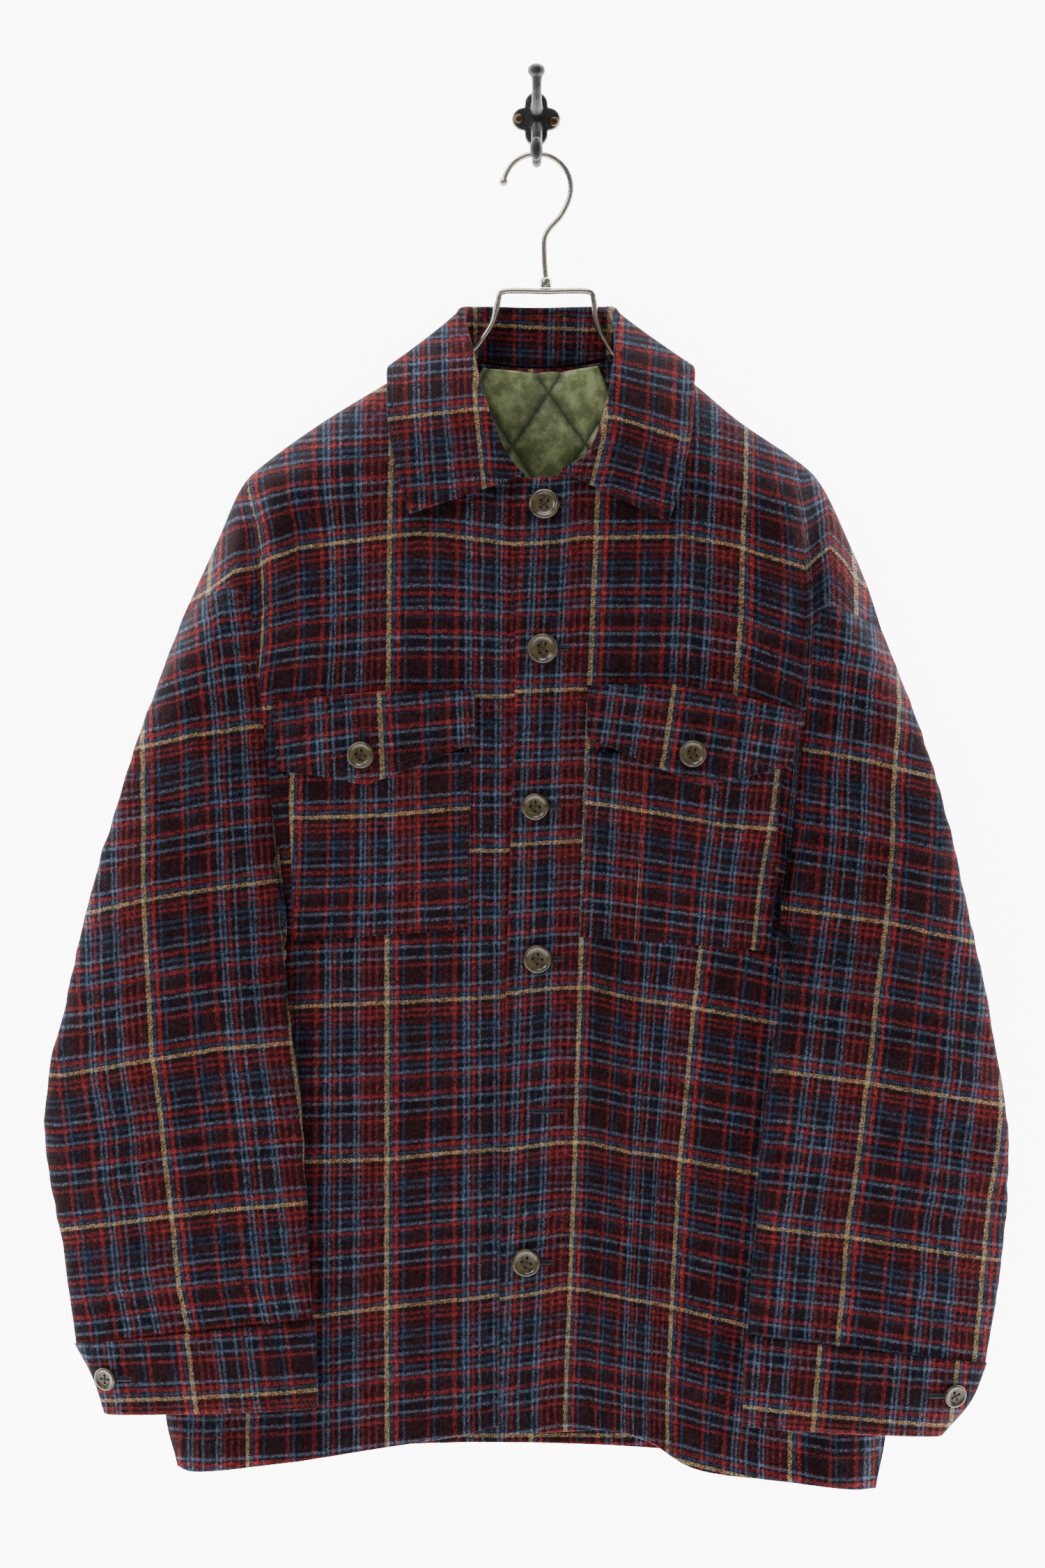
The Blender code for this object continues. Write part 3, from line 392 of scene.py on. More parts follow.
def sheet(name, outer, inner, cut, material, *nodes, open_ends=True):
    """A cloth wall with round edges between two grids; cut is each point's place in the check, in repeats."""
    columns, rows = outer.shape[:2]
    index = np.arange(columns * rows).reshape(columns, rows)
    back = index + columns * rows

    def strips(table, flip):
        a, b, c, d = table[:-1, :-1], table[1:, :-1], table[1:, 1:], table[:-1, 1:]
        order = (a, d, c, b) if flip else (a, b, c, d)
        return np.stack([part.reshape(-1) for part in order], axis=1)

    points, layers = [outer.reshape(-1, 3), inner.reshape(-1, 3)], [cut.reshape(-1, 2)] * 2
    quads = [strips(index, False), strips(back, True)]
    borders = [(np.s_[:, 0], np.s_[:, 1], False), (np.s_[:, -1], np.s_[:, -2], True)]
    if open_ends:
        borders += [(np.s_[0], np.s_[1], True), (np.s_[-1], np.s_[-2], False)]
    start = 2 * columns * rows
    for edge, near, flip in borders:
        middle = (outer[edge] + inner[edge]) / 2
        away = unit(middle - (outer[near] + inner[near]) / 2)
        thickness = np.linalg.norm(outer[edge] - inner[edge], axis=1, keepdims=True)
        points.append(middle + away * thickness * EDGE_BULGE)
        layers.append(cut[edge])
        mid = np.arange(start, start + len(middle))
        start += len(middle)
        for table in (np.stack([index[edge], mid], axis=1), np.stack([mid, back[edge]], axis=1)):
            quads.append(strips(table, not flip))
    points, layers, quads = np.vstack(points), np.vstack(layers), np.vstack(quads)
    mesh = bpy.data.meshes.new(name)
    mesh.vertices.add(len(points))
    mesh.vertices.foreach_set("co", (points * MM).astype(np.float32).ravel())
    mesh.loops.add(quads.size)
    mesh.loops.foreach_set("vertex_index", quads.ravel().astype(np.int32))
    mesh.polygons.add(len(quads))
    mesh.polygons.foreach_set("loop_start", (np.arange(len(quads)) * 4).astype(np.int32))
    layer = mesh.uv_layers.new(name="cut")
    layer.data.foreach_set("uv", layers[quads.ravel()].astype(np.float32).ravel())
    mesh.update(calc_edges=True)
    mesh.validate()
    bm = bmesh.new()
    bm.from_mesh(mesh)
    if not open_ends:
        bmesh.ops.remove_doubles(bm, verts=bm.verts, dist=1e-7)
    bmesh.ops.recalc_face_normals(bm, faces=bm.faces)
    bm.to_mesh(mesh)
    bm.free()
    return piece(name, mesh, material, *nodes)


def sew(bm, points, normals):
    """Stitches along a line on the cloth: each rises out of it, runs along it and sinks in again."""
    length = lengths(points)
    for start in np.arange(1.0, length[-1] - STITCH_PITCH, STITCH_PITCH):
        at = start + STITCH_PITCH * STITCH_SHARE * np.array((0, 0.2, 0.5, 0.8, 1))
        place, out = sampled(points, length, at), unit(sampled(normals, length, at))
        tube(bm, (place + out * np.array(STITCH_RISE)[:, None]) * MM, THREAD_RADIUS * MM, 5)


def on_cloth(thing, path, step=2.0):
    """A line of x, z places laid on a piece: its points and normals."""
    length, tree = lengths(path), tree_of(thing)
    hits = [hit_front(tree, x, z) for x, z in sampled(path, length, np.arange(0, length[-1], step))]
    points, normals = zip(*[hit for hit in hits if hit is not None])
    return np.array(points), np.array(normals)


def stitched(name, runs, thread):
    """One piece of stitching from several lines, each a pair of points and normals."""
    bm = bmesh.new()
    for points, normals in runs:
        sew(bm, points, normals)
    return add_smooth(bm, name, thread)


def buttonhole(name, thing, x, z, reach, thread):
    """A worked buttonhole: satin stitches round a slit that runs from x, z by the given reach."""
    tree = tree_of(thing)
    length = np.linalg.norm(reach)
    along = np.array(reach) / length
    beside = np.array((-along[1], along[0]))
    bm = bmesh.new()

    def stitch(*places):
        rows = []
        for u, v, lift in places:
            point, normal = hit_front(tree, *(np.array((x, z)) + along * u + beside * v))
            rows.append(Vector(point + normal * lift) * MM)
        tube(bm, rows, SATIN_RADIUS * MM, 5)

    for u in np.arange(0, length, SATIN_PITCH):
        for s in (-1, 1):
            stitch((u, s * 0.25, -0.2), (u, s * 0.5, 0.42), (u, s * 1.7, 0.3), (u, s * 1.95, -0.3))
    for end in (-0.3, length - 0.1):
        for shift in np.arange(-1.6, 1.7, 0.6):
            stitch((end - 0.7, shift, -0.2), (end, shift, 0.5), (end + 0.7, shift, -0.2))
    return add_smooth(bm, name, thread)


def pull_back(grid, border, gap=SEAM_GAP / 2):
    """Pulls one border of a panel back from its seam by half the gap."""
    edge, near = {"first_column": (grid[0], grid[1]), "last_column": (grid[-1], grid[-2]),
                  "first_row": (grid[:, 0], grid[:, 1])}[border]
    edge += unit(near - edge) * gap


def seam_lines(side):
    """The four borders of a front panel, each sampled at the panel's grid lines."""
    top = chain(smooth(NECK[side], even(NECK_STEPS)), smooth(SHOULDER[side], even(SHOULDER_STEPS)))
    outer = chain(smooth(ARMHOLE_FRONT[side], even(ARMHOLE_STEPS)), smooth(SIDE[side], even(SIDE_STEPS)))
    edge = smooth(FRONT_EDGE[side], np.interp(np.arange(ARMHOLE_STEPS + SIDE_STEPS + 1) / DOWN, *EDGE_SHARES))
    hem = smooth(HEM[side], even(NECK_STEPS + SHOULDER_STEPS))
    return top, outer, edge, hem


def fill(top, bottom, first, last, ease_down, ease_first, ease_last):
    """A panel between four borders. The ease values say how fast each border's influence fades in."""
    u, v = np.linspace(0, 1, len(top))[:, None, None], np.linspace(0, 1, len(first))[None, :, None]

    def blended(down, from_first, from_last):
        base = (1 - down) * top[:, None] + down * bottom[:, None]
        return base + from_first * (first[None] - base[:1]) + from_last * (last[None] - base[-1:])

    flat = blended(1 - (1 - v) ** 3, 1 - u, u)
    deep = blended(ease_down(v), ease_first(u), ease_last(u))
    return np.concatenate([flat[..., :1], deep[..., 1:2], flat[..., 2:]], axis=2)


def rise(v, reach=0.3):
    """Quarter of an ellipse: 0 at the seam, 1 from the given reach on."""
    return np.sqrt(1 - (1 - np.clip(v / reach, 0, 1)) ** 2)


def round_over(u, power=3):
    """0 over most of the panel and then quickly to 1, so that the cloth rounds over at a side seam."""
    return 1 - np.sqrt(1 - np.clip(u, 0, 1) ** power)


def fold_depth(side, points):
    """How far the large folds sink the cloth at each point, fading out at the seams."""
    x, z = points[..., 0], points[..., 2]
    sunk = np.zeros(x.shape)
    for x0, z0, x1, z1, depth, width in FOLDS[side]:
        share = np.clip((z0 - z) / (z0 - z1), 0, 1)
        ends = np.clip(6 * share, 0, 1) * np.clip(1.4 - share * 0.4, 0, 1)
        ends = np.where((z > z0) | (z < z1 - 20), 0, ends)
        sunk += depth * ends * np.exp(-(((x - x0 - (x1 - x0) * share) / width) ** 2))
    u, v = shares_of(x)
    return sunk * np.clip(10 * v, 0, 1) * np.clip(8 * (1 - u), 0, 1)


def calm(grid, first=0.0):
    """0 at a panel's seams and 1 over the rest of it; first is what is left at its first column."""
    u, v = shares_of(grid)
    return np.clip(12 * v, 0, 1) * np.clip(12 * (1 - u), 0, 1) * np.clip(12 * u + first, 0, 1)


def ripple(points, seed, size=46.0, height=0.5):
    """Soft unevenness of hanging cloth: a sum of long waves in fixed directions."""
    wave = np.zeros(points.shape[:-1])
    generator = np.random.default_rng(seed)
    for octave in range(3):
        for _ in range(5):
            direction = generator.normal(size=3)
            direction *= 2 * np.pi / (size / 1.9**octave) / np.linalg.norm(direction)
            wave += height / 1.9**octave * np.sin(points @ direction + generator.uniform(0, 6.3)) / 2
    return wave


# Small folds and creases, each from x, z to x, z: sideways bow, height towards the viewer, and width.
CREASES = {
    "front_right": [(-88, -640, -96, -1000, 4, 1.5, 11), (-160, -690, -150, -1010, -6, -1.8, 12),
                    (-44, -560, -40, -980, 3, 1.2, 9), (-196, -300, -150, -420, 8, 1.2, 9),
                    (-190, -262, -160, -330, 4, -1.3, 8), (-118, -210, -60, -330, 5, 0.9, 12),
                    (-20, -300, -30, -430, 2, -0.8, 8), (-180, -520, -196, -620, 4, 1.4, 9)],
    "front_left": [(36, -446, 31, -960, 0, 2.4, 7), (54, -470, 52, -955, 2, -1.5, 8),
                   (130, -660, 122, -1000, -5, 1.8, 12), (95, -650, 90, -980, 4, -1.4, 10),
                   (190, -300, 150, -420, -8, 1.2, 9), (182, -262, 160, -330, -4, -1.3, 8),
                   (112, -210, 62, -330, -5, 0.9, 12), (168, -560, 176, -700, 3, 1.5, 9)],
    "sleeve_right": [(-268, -420, -226, -520, 6, 1.6, 9), (-282, -470, -222, -590, 8, -1.5, 9),
                     (-330, -700, -226, -640, -8, 1.8, 10), (-338, -745, -250, -700, -7, -1.6, 9),
                     (-336, -790, -220, -742, 6, 1.5, 11), (-330, -850, -240, -806, -5, 1.6, 9),
                     (-318, -872, -262, -836, 4, -1.5, 7), (-200, -800, -250, -866, 4, 1.4, 8),
                     (-290, -560, -240, -650, 5, 1.2, 12), (-214, -600, -206, -760, 3, 1.3, 8),
                     (-286, -880, -282, -845, 1, 1.2, 5), (-232, -874, -226, -836, 1, 1.1, 5)],
    "sleeve_left": [(262, -420, 224, -520, -6, 1.6, 9), (276, -470, 222, -590, -8, -1.5, 9),
                    (326, -700, 226, -650, 8, 1.8, 10), (334, -752, 246, -708, 7, -1.6, 9),
                    (332, -800, 216, -752, -6, 1.5, 11), (326, -860, 236, -816, 5, 1.6, 9),
                    (314, -884, 258, -846, -4, -1.5, 7), (196, -800, 246, -876, -4, 1.4, 8),
                    (286, -560, 236, -650, -5, 1.2, 12), (206, -600, 200, -760, -3, 1.3, 8),
                    (282, -890, 278, -855, 1, 1.2, 5), (226, -884, 222, -846, 1, 1.1, 5)],
    "pocket_left": [(141, -484, 134, -580, 0, -1.4, 5), (168, -500, 160, -590, 0, 0.9, 7)],
    "pocket_right": [(-140, -486, -146, -580, 2, 0.8, 9), (-60, -500, -62, -585, 0, 0.7, 7)],
    "pocket_flap_right": [(-150, -424, -146, -470, 0, 0.7, 8)],
    "pocket_flap_left": [(150, -424, 146, -470, 0, 0.7, 8)],
}


FOLD_GAIN = 1.5


def crease(points, table):
    """Height of the creases in a table at each point."""
    x, z = points[..., 0], points[..., 2]
    total = np.zeros(x.shape)
    for x0, z0, x1, z1, bow, height, width in table:
        along = np.array([x1 - x0, z1 - z0], float)
        length = np.linalg.norm(along)
        along /= length
        s = ((x - x0) * along[0] + (z - z0) * along[1]) / length
        across = (x - x0) * -along[1] + (z - z0) * along[0] - bow * 4 * s * (1 - s)
        inside = np.clip(s, 0, 1)
        fade = np.sin(np.pi * inside) ** 0.7 * (s > 0) * (s < 1)
        total += FOLD_GAIN * height * fade * np.exp(-((across / width) ** 2))
    return total


def lines_at(lines, where, by, spacing):
    """Each point's place among numbered lines; where is the coordinate across them, by the one along them."""
    numbers = sorted(lines)
    places = np.stack([np.interp(by, [-row[0] for row in lines[k]], [row[1] for row in lines[k]])
                       for k in numbers], axis=-1)
    result = numbers[0] + (where - places[..., 0]) / spacing
    for low, k in enumerate(numbers[:-1]):
        span = places[..., low + 1] - places[..., low]
        inside = numbers[low] + (where - places[..., low]) / span * (numbers[low + 1] - numbers[low])
        result = np.where((where - places[..., low]) * np.sign(spacing) >= 0, inside, result)
    beyond = numbers[-1] + (where - places[..., -1]) / spacing
    return np.where((where - places[..., -1]) * np.sign(spacing) >= 0, beyond, result)


def px(*places):
    """Charted places, given in half millimetres from the photograph's corner, as x and z in millimetres."""
    return [((x - PLATE_PX[0]) / 2, (PLATE_PX[1] - y) / 2) for x, y in places]


def warp(*places):
    """A warp line of the check as rows of z, x."""
    return [(z, x) for x, z in px(*places)]


def weft(*places):
    """A weft line of the check as rows of -x, z."""
    return [(-x, z) for x, z in px(*places)]


WARP_REPEAT, WEFT_REPEAT = 101.0, 109.5
RIB = 1.75  # one twill rib

# Where the cream lines of the check run on each front: numbered warp lines from left to right, and weft lines
# from the top down. Numbers with a fraction chart the cloth that the folds beside the armholes hide.
CHECK = {
    "right": (
        {-2: warp((312, 640), (303, 760), (300, 803), (298, 847), (295, 900), (190, 1400), (158, 2081)),
         -1.64: warp((336, 600), (347, 700), (357, 737), (365, 762), (370, 812), (372, 879), (368, 923),
                     (250, 1400), (231, 2081)),
         -1.03: warp((338, 600), (350, 700), (360, 737), (368, 762), (373, 812), (375, 879), (373, 923),
                     (358, 1400), (350, 2081)),
         -1: warp((341, 600), (352, 700), (362, 737), (370, 762), (375, 812), (377, 879), (376, 923),
                  (366, 1000), (362, 1500), (354, 2081)),
         0: warp((564, 560), (560, 771), (556, 1436), (556, 1575), (555, 1912), (556, 2100))},
        {-1: weft((430, 556), (741, 556)),
         0: weft((250, 868), (269, 861), (298, 847), (336, 820), (368, 815), (385, 803), (407, 796),
                 (430, 787), (500, 778), (558, 771), (598, 767), (640, 769), (688, 776), (741, 783)),
         1: weft((300, 1030), (400, 1013), (470, 1008), (552, 1001), (620, 1001), (676, 999),
                 (718, 1000), (741, 998)),
         2: weft((300, 1250), (430, 1234), (559, 1224), (685, 1220), (723, 1220), (741, 1218)),
         3: weft((300, 1456), (433, 1443), (562, 1437), (675, 1431), (741, 1426)),
         4: weft((300, 1680), (433, 1666), (555, 1662), (675, 1650), (741, 1645)),
         5: weft((300, 1902), (456, 1888), (555, 1875), (675, 1862), (741, 1852))}),
    "left": (
        {0: warp((860, 640), (855, 771), (846, 979), (838, 1203), (832, 1427), (824, 1700), (812, 2014)),
         1: warp((1075, 610), (1065, 785), (1062, 887), (1054, 992), (1005, 1358), (995, 1445), (975, 1665),
                 (965, 1845), (958, 2000)),
         1.45: warp((1129, 610), (1139, 686), (1150, 745), (1157, 829), (1159, 880), (1095, 1358),
                    (1034, 2081)),
         1.65: warp((1133, 610), (1143, 686), (1154, 745), (1161, 829), (1163, 880), (1135, 1358),
                    (1069, 2081)),
         2: warp((1222, 610), (1228, 789), (1231, 830), (1230, 890), (1200, 1400), (1150, 1850),
                 (1134, 2061))},
        {-1: weft((741, 552), (1000, 545), (1153, 585)),
         0: weft((741, 783), (800, 780), (832, 774), (979, 771), (1040, 781), (1065, 787), (1098, 799),
                 (1156, 815), (1192, 782), (1216, 807), (1228, 825), (1250, 841)),
         1: weft((741, 993), (832, 990), (979, 992), (1065, 1006), (1153, 1040)),
         2: weft((728, 1212), (832, 1206), (979, 1214), (1065, 1228), (1153, 1262)),
         3: weft((722, 1424), (790, 1416), (842, 1414), (900, 1430), (995, 1445), (1069, 1459), (1153, 1475)),
         4: weft((720, 1648), (800, 1637), (842, 1636), (900, 1651), (956, 1659), (1069, 1680), (1153, 1698)),
         5: weft((718, 1862), (810, 1846), (842, 1848), (900, 1862), (956, 1873), (1069, 1901),
                 (1200, 1930))}),
}
SLEEVE_WEFT = {
    "right": {-1: weft((180, 870), (320, 800), (400, 790)), 0: weft((192, 1074), (280, 1055), (368, 1042)),
              1: weft((126, 1310), (210, 1291), (313, 1273), (400, 1263)),
              2: weft((90, 1542), (224, 1517), (313, 1502), (423, 1493)),
              3: weft((88, 1764), (240, 1742), (340, 1730), (440, 1722))},
    "left": {-1: weft((1130, 820), (1250, 850), (1330, 880)),
             0: weft((1127, 1069), (1152, 1075), (1219, 1087), (1286, 1102), (1344, 1115)),
             1: weft((1127, 1302), (1267, 1322), (1408, 1354)),
             2: weft((1120, 1533), (1240, 1550), (1444, 1585)),
             3: weft((1080, 1755), (1220, 1771), (1435, 1808))},
}
EMPTY_HOLE = px((765, 1592))[0]  # the buttonhole without a button


def check_places(grid, warps, wefts):
    """The grid's places in the check, in repeats across and down, from its charted lines."""
    u = lines_at(warps, grid[..., 0], -grid[..., 2], WARP_REPEAT)
    v = lines_at(wefts, grid[..., 2], grid[..., 0], -WEFT_REPEAT)
    return np.stack([u, v], axis=-1)


def cloth(node, grid, normals, cut, material, *borders, wall=WOOL, **settings):
    """A piece's cloth wall inside its grid, pulled back from its seams."""
    inner = grid - normals * wall
    for border in borders:
        pull_back(grid, border)
        pull_back(inner, border)
    return sheet(f"shell_{node}", grid, inner, cut, material, node, **settings)


def shoulder_normal(side, points):
    """Outward direction on a shoulder seam: square to the seam, up and out."""
    along = SIGN[side] * unit(np.gradient(points, axis=0))
    return unit(np.stack([-along[:, 2], 0 * along[:, 1], along[:, 0]], axis=1))


def front_panel(side, material):
    top, outer, edge, hem = seam_lines(side)
    grid = fill(top, hem, edge, outer, rise, lambda u: 1 - round_over(u), round_over)
    grid[..., 1] += fold_depth(side, grid)
    uneven = ripple(grid, RIPPLE_SEEDS["front"][side]) - crease(grid, CREASES[f"front_{side}"])
    grid[..., 1] += uneven * calm(grid, 0.2)
    normals = grid_normals(grid, (0, -1, 0))
    set_seam_normals(side, grid, normals, -1, slice(NECK_STEPS, None))
    cut = check_places(grid, *CHECK[side])
    return cloth(f"front_{side}", grid, normals, cut, material, "last_column", "first_row")


def set_seam_normals(side, grid, normals, column, shoulder):
    """Gives a panel the directions that it shares with its neighbours at the shoulder, armhole and side."""
    armhole = slice(ARMHOLE_STEPS + 1)
    normals[shoulder, 0] = shoulder_normal(side, grid[shoulder, 0])
    normals[column, armhole] = armhole_normal(side, grid[column, armhole])
    normals[column, ARMHOLE_STEPS + 1:] = (SIGN[side], 0, 0)


def back_panel(material):
    shoulder = even(SHOULDER_STEPS)
    top = chain(smooth(SHOULDER["right"][::-1], shoulder), smooth(BACK_NECK, even(BACK_NECK_STEPS)),
                smooth(SHOULDER["left"], shoulder))
    armhole, below = even(ARMHOLE_STEPS), even(SIDE_STEPS)
    first, last = (chain(smooth(ARMHOLE_BACK[side], armhole), smooth(SIDE[side], below)) for side in SIDES)
    hem = smooth(BACK_HEM, even(2 * SHOULDER_STEPS + BACK_NECK_STEPS))
    grid = fill(top, hem, first, last, lambda v: rise(v, 0.14), lambda u: round_over(1 - u, 8),
                lambda u: round_over(u, 8))
    grid[..., 1] += ripple(grid, RIPPLE_SEEDS["back"], height=0.4) * calm(grid)
    normals = grid_normals(grid, (0, 1, 0))
    set_seam_normals("right", grid, normals, 0, slice(SHOULDER_STEPS, None, -1))
    set_seam_normals("left", grid, normals, -1, slice(-SHOULDER_STEPS - 1, None))
    cut = np.stack([(grid[..., 0] + 4) / WARP_REPEAT, (-grid[..., 2] - 300) / WEFT_REPEAT], axis=-1)
    return cloth("back", grid, normals, cut, material, "first_column", "last_column", "first_row")


def armhole_loop(side):
    front, back = (smooth(half[side], even(HALF_RING)) for half in (ARMHOLE_FRONT, ARMHOLE_BACK))
    return np.vstack([front, back[-2::-1]])


def ring(row, turn):
    """A closed section of a sleeve or cuff at the given angles: 0 is outside, then front, inside and back."""
    outer_x, outer_z, inner_x, inner_z, outer_y, inner_y, front, back = row
    share = (1 - np.cos(turn)) / 2
    line = np.outer(1 - share, (outer_x, outer_y, outer_z)) + np.outer(share, (inner_x, inner_y, inner_z))
    bulge = np.where(np.sin(turn) > 0, -front, back) * np.abs(np.sin(turn)) ** 0.8
    return line + np.outer(bulge, (0, 1, 0))


def sleeve_grid(side):
    loop = armhole_loop(side)
    count = len(loop) - 1
    turn = np.interp(np.arange(count + 1), (0, ARMHOLE_CORNER * RING, HALF_RING, count),
                     (0, np.pi, UNDERARM_TURN, 2 * np.pi))
    keys = np.stack([loop] + [ring(row, turn) for row in SLEEVE[side]])
    return np.stack([smooth(keys[:, k], even(SLEEVE_STEPS)) for k in range(count + 1)])


def tree_of(thing):
    bm = bmesh.new()
    bm.from_mesh(thing.data)
    bmesh.ops.triangulate(bm, faces=bm.faces)
    tree = BVHTree.FromBMesh(bm)
    bm.free()
    return tree


def hit_front(tree, x, z):
    """The foremost point of a piece at x, z, in millimetres, and its normal, or None beside it."""
    point, normal, _, _ = tree.ray_cast(Vector((x * MM, -0.4, z * MM)), Vector((0, 1, 0)))
    return None if point is None else (np.array(point) / MM, np.array(normal))


def settle(grid, tree, extra, fade):
    """Moves points forward where the grid comes too close to a panel behind it, more so in its first rows."""
    for j in range(grid.shape[1]):
        wanted = SLEEVE_CLEARANCE + extra * max(0.0, 1 - j / fade)
        for i in range(grid.shape[0]):
            x, y, z = grid[i, j]
            found = hit_front(tree, x, z)
            if found is not None and y > found[0][1] - wanted:
                grid[i, j, 1] = found[0][1] - wanted


# Where the cream warp line runs down the front of each sleeve.
SLEEVE_LINE = {
    "right": warp((186, 850), (203, 1032), (208, 1250), (215, 1384), (224, 1516), (235, 1600), (251, 1750),
                  (261, 1848), (272, 1899), (284, 2022)),
    "left": warp((1298, 850), (1292, 986), (1288, 1048), (1283, 1102), (1281, 1191), (1271, 1300),
                 (1256, 1409), (1241, 1544), (1229, 1648), (1214, 1750), (1200, 1920), (1190, 2040)),
}


def tube_places(grid, side, weft_lines, line, turned=1):
    wanted = np.interp(-grid[..., 2], [-row[0] for row in line], [row[1] for row in line])
    step = np.diff(grid[..., :2] * (1, FRONT_DEPTH_SHARE), axis=0)
    level = np.linalg.norm(step, axis=2)
    length = level - np.diff(wanted, axis=0) * step[..., 0] / np.maximum(level, 1e-6)
    length = np.concatenate([np.zeros((1, grid.shape[1])), np.cumsum(length, axis=0)])
    half = grid.shape[0] // 2
    gap = grid[:half, :, 0] - wanted[:half]
    nearest = np.argmin(np.abs(gap), axis=0), np.arange(grid.shape[1])
    u = (length - length[nearest] - SIGN[side] * gap[nearest]) / WARP_REPEAT * -SIGN[side] * turned
    v = lines_at(weft_lines, grid[..., 2], grid[..., 0], -WEFT_REPEAT)
    return np.stack([u, v], axis=-1)


def sleeve(side, panel, material):
    grid = sleeve_grid(side)
    cut = tube_places(grid, side, SLEEVE_WEFT[side], SLEEVE_LINE[side])
    settle(grid[:, 1:], tree_of(panel), ARMPIT_EXTRA, ARMPIT_ROWS)
    _, v = shares_of(grid)
    normals = tube_normals(grid)
    front = np.clip(-3 * normals[..., 1], 0, 1)
    waves = ripple(grid, RIPPLE_SEEDS["sleeve"][side], height=0.6)
    waves = waves + crease(grid, CREASES[f"sleeve_{side}"]) * front
    waves *= np.clip(10 * v, 0, 1) * np.clip(10 * (1 - v), 0, 1)
    grid = grid + normals * waves[..., None]
    grid[-1] = grid[0]
    normals = tube_normals(grid)
    normals[:, 0] = armhole_normal(side, grid[:, 0])
    return cloth(f"sleeve_{side}", grid, normals, cut, material, "first_row", open_ends=False)


CUFF_LINE = {"right": warp((265, 1850), (270, 1904), (284, 2022)),
             "left": warp((1180, 1850), (1174, 1928), (1164, 2050))}
CUFF_WEFT = {"right": {0: weft((110, 2012), (209, 2005), (450, 1990))},
             "left": {0: weft((1072, 2014), (1344, 2043), (1416, 2050))}}


def cuff(side, panel, material, thread):
    turn = np.linspace(0, 2 * np.pi, 2 * HALF_RING + 1)
    keys = np.stack([ring(row, turn) for row in CUFF[side]])
    grid = np.stack([smooth(keys[:, k], even(CUFF_STEPS)) for k in range(len(turn))])
    settle(grid, tree_of(panel), 0, 1)
    normals = tube_normals(grid)
    normals[..., 2] = 0
    normals = unit(normals)
    cut = tube_places(grid, side, CUFF_WEFT[side], CUFF_LINE[side], turned=SIGN[side])
    made = cloth(f"cuff_{side}", grid, normals, cut, material, wall=CUFF_WALL, open_ends=False)
    runs = [(grid[:, row] + unit(grid[:, near] - grid[:, row]) * EDGE_STITCH, normals[:, row])
            for row, near in ((0, 4), (-1, -5))]
    stitched(f"stitches_cuff_{side}", runs, thread)
    return made


COLLAR_WARP = {-1: warp((490, 434), (490, 760)), 0: warp((680, 434), (684, 590), (696, 707), (700, 760)),
               1: warp((880, 434), (867, 626), (847, 703), (840, 760)), 2: warp((1076, 434), (1060, 760))}
COLLAR_WEFT = {-1: weft((559, 385), (980, 400)),
               0: weft((559, 604), (687, 590), (770, 597), (881, 602), (980, 633)),
               1: weft((559, 823), (687, 810), (881, 820), (980, 850))}


STAND_SHIFT = 0.34  # repeats by which the stand's check lies lower than the fall's


def collar(material, thread):
    """Stand and fall in one folded sheet, with a round bend along the fold."""
    seam, fold, edge = (by_row([row[k] for row in COLLAR], even(COLLAR_STEPS)) for k in range(3))
    away = unit((edge - seam) * (1, 1, 0))
    up = np.array((0.0, 0, 1))
    rows = [(1 - s) * seam + s * (fold - away * COLLAR_BEND - up * COLLAR_BEND)
            for s in np.arange(STAND_ROWS) / STAND_ROWS]
    rows += [fold + away * COLLAR_BEND * -np.cos(turn) + up * COLLAR_BEND * (np.sin(turn) - 1)
             for turn in np.linspace(0, np.pi, BEND_ROWS)]
    start = rows[-1]
    rows += [(1 - s) * start + s * edge for s in np.arange(1, FALL_ROWS + 1) / FALL_ROWS]
    grid = np.stack(rows, axis=1)
    normals = grid_normals(grid, (0, 0, 1))
    half = normals * COLLAR_WALL / 2
    cut = check_places(grid, COLLAR_WARP, COLLAR_WEFT)
    cut[:, :STAND_ROWS, 1] -= STAND_SHIFT
    made = sheet("shell_collar", grid + half, grid - half, cut, material, "collar")
    inward = unit(grid[:, -12] - grid[:, -1]) * EDGE_STITCH
    face = half if half[5, -1, 1] <= 0 else -half
    runs = [(grid[:, -1] + inward + face[:, -1], unit(face[:, -1]))]
    for column, near in ((0, 8), (-1, -9)):
        away = unit(grid[near] - grid[column]) * EDGE_STITCH
        runs.append(((grid[column] + away + face[column])[24:-2], unit(face[column])[24:-2]))
    stitched("stitches_collar", runs, thread)
    return made


POCKET_CHECK = {
    "right": ({0: warp((422, 1080), (419, 1190), (418, 1240), (411, 1350)),
               1: warp((603, 1080), (603, 1350))},
              {0: weft((402, 1174), (540, 1170), (671, 1159)), 1: weft((402, 1395), (671, 1380))}),
    "left": ({-1: warp((929, 1080), (915, 1350)),
              0: warp((1129, 1111), (1118, 1188), (1105, 1255), (1093, 1362))},
             {0: weft((846, 1151), (930, 1164), (1040, 1184), (1139, 1191)),
              1: weft((846, 1370), (1139, 1410))}),
}
FLAP_CHECK = {
    "right": ({0: warp((546, 993), (551, 1119))},
              {0: weft((395, 1154), (520, 1135), (546, 1134), (673, 1122))}),
    "left": ({0: warp((966, 989), (949, 1102))}, {0: weft((843, 1112), (1002, 1132), (1139, 1157))}),
}


# The pockets' stitched pen slots: top, foot, and the width of cloth that each tuck hides.
TUCKS = {"pocket_right": (*px((596, 1107), (597, 1345)), 7.5),
         "pocket_left": (*px((923, 1110), (909, 1350)), 7.5)}
TUCK_DEPTH = 0.55


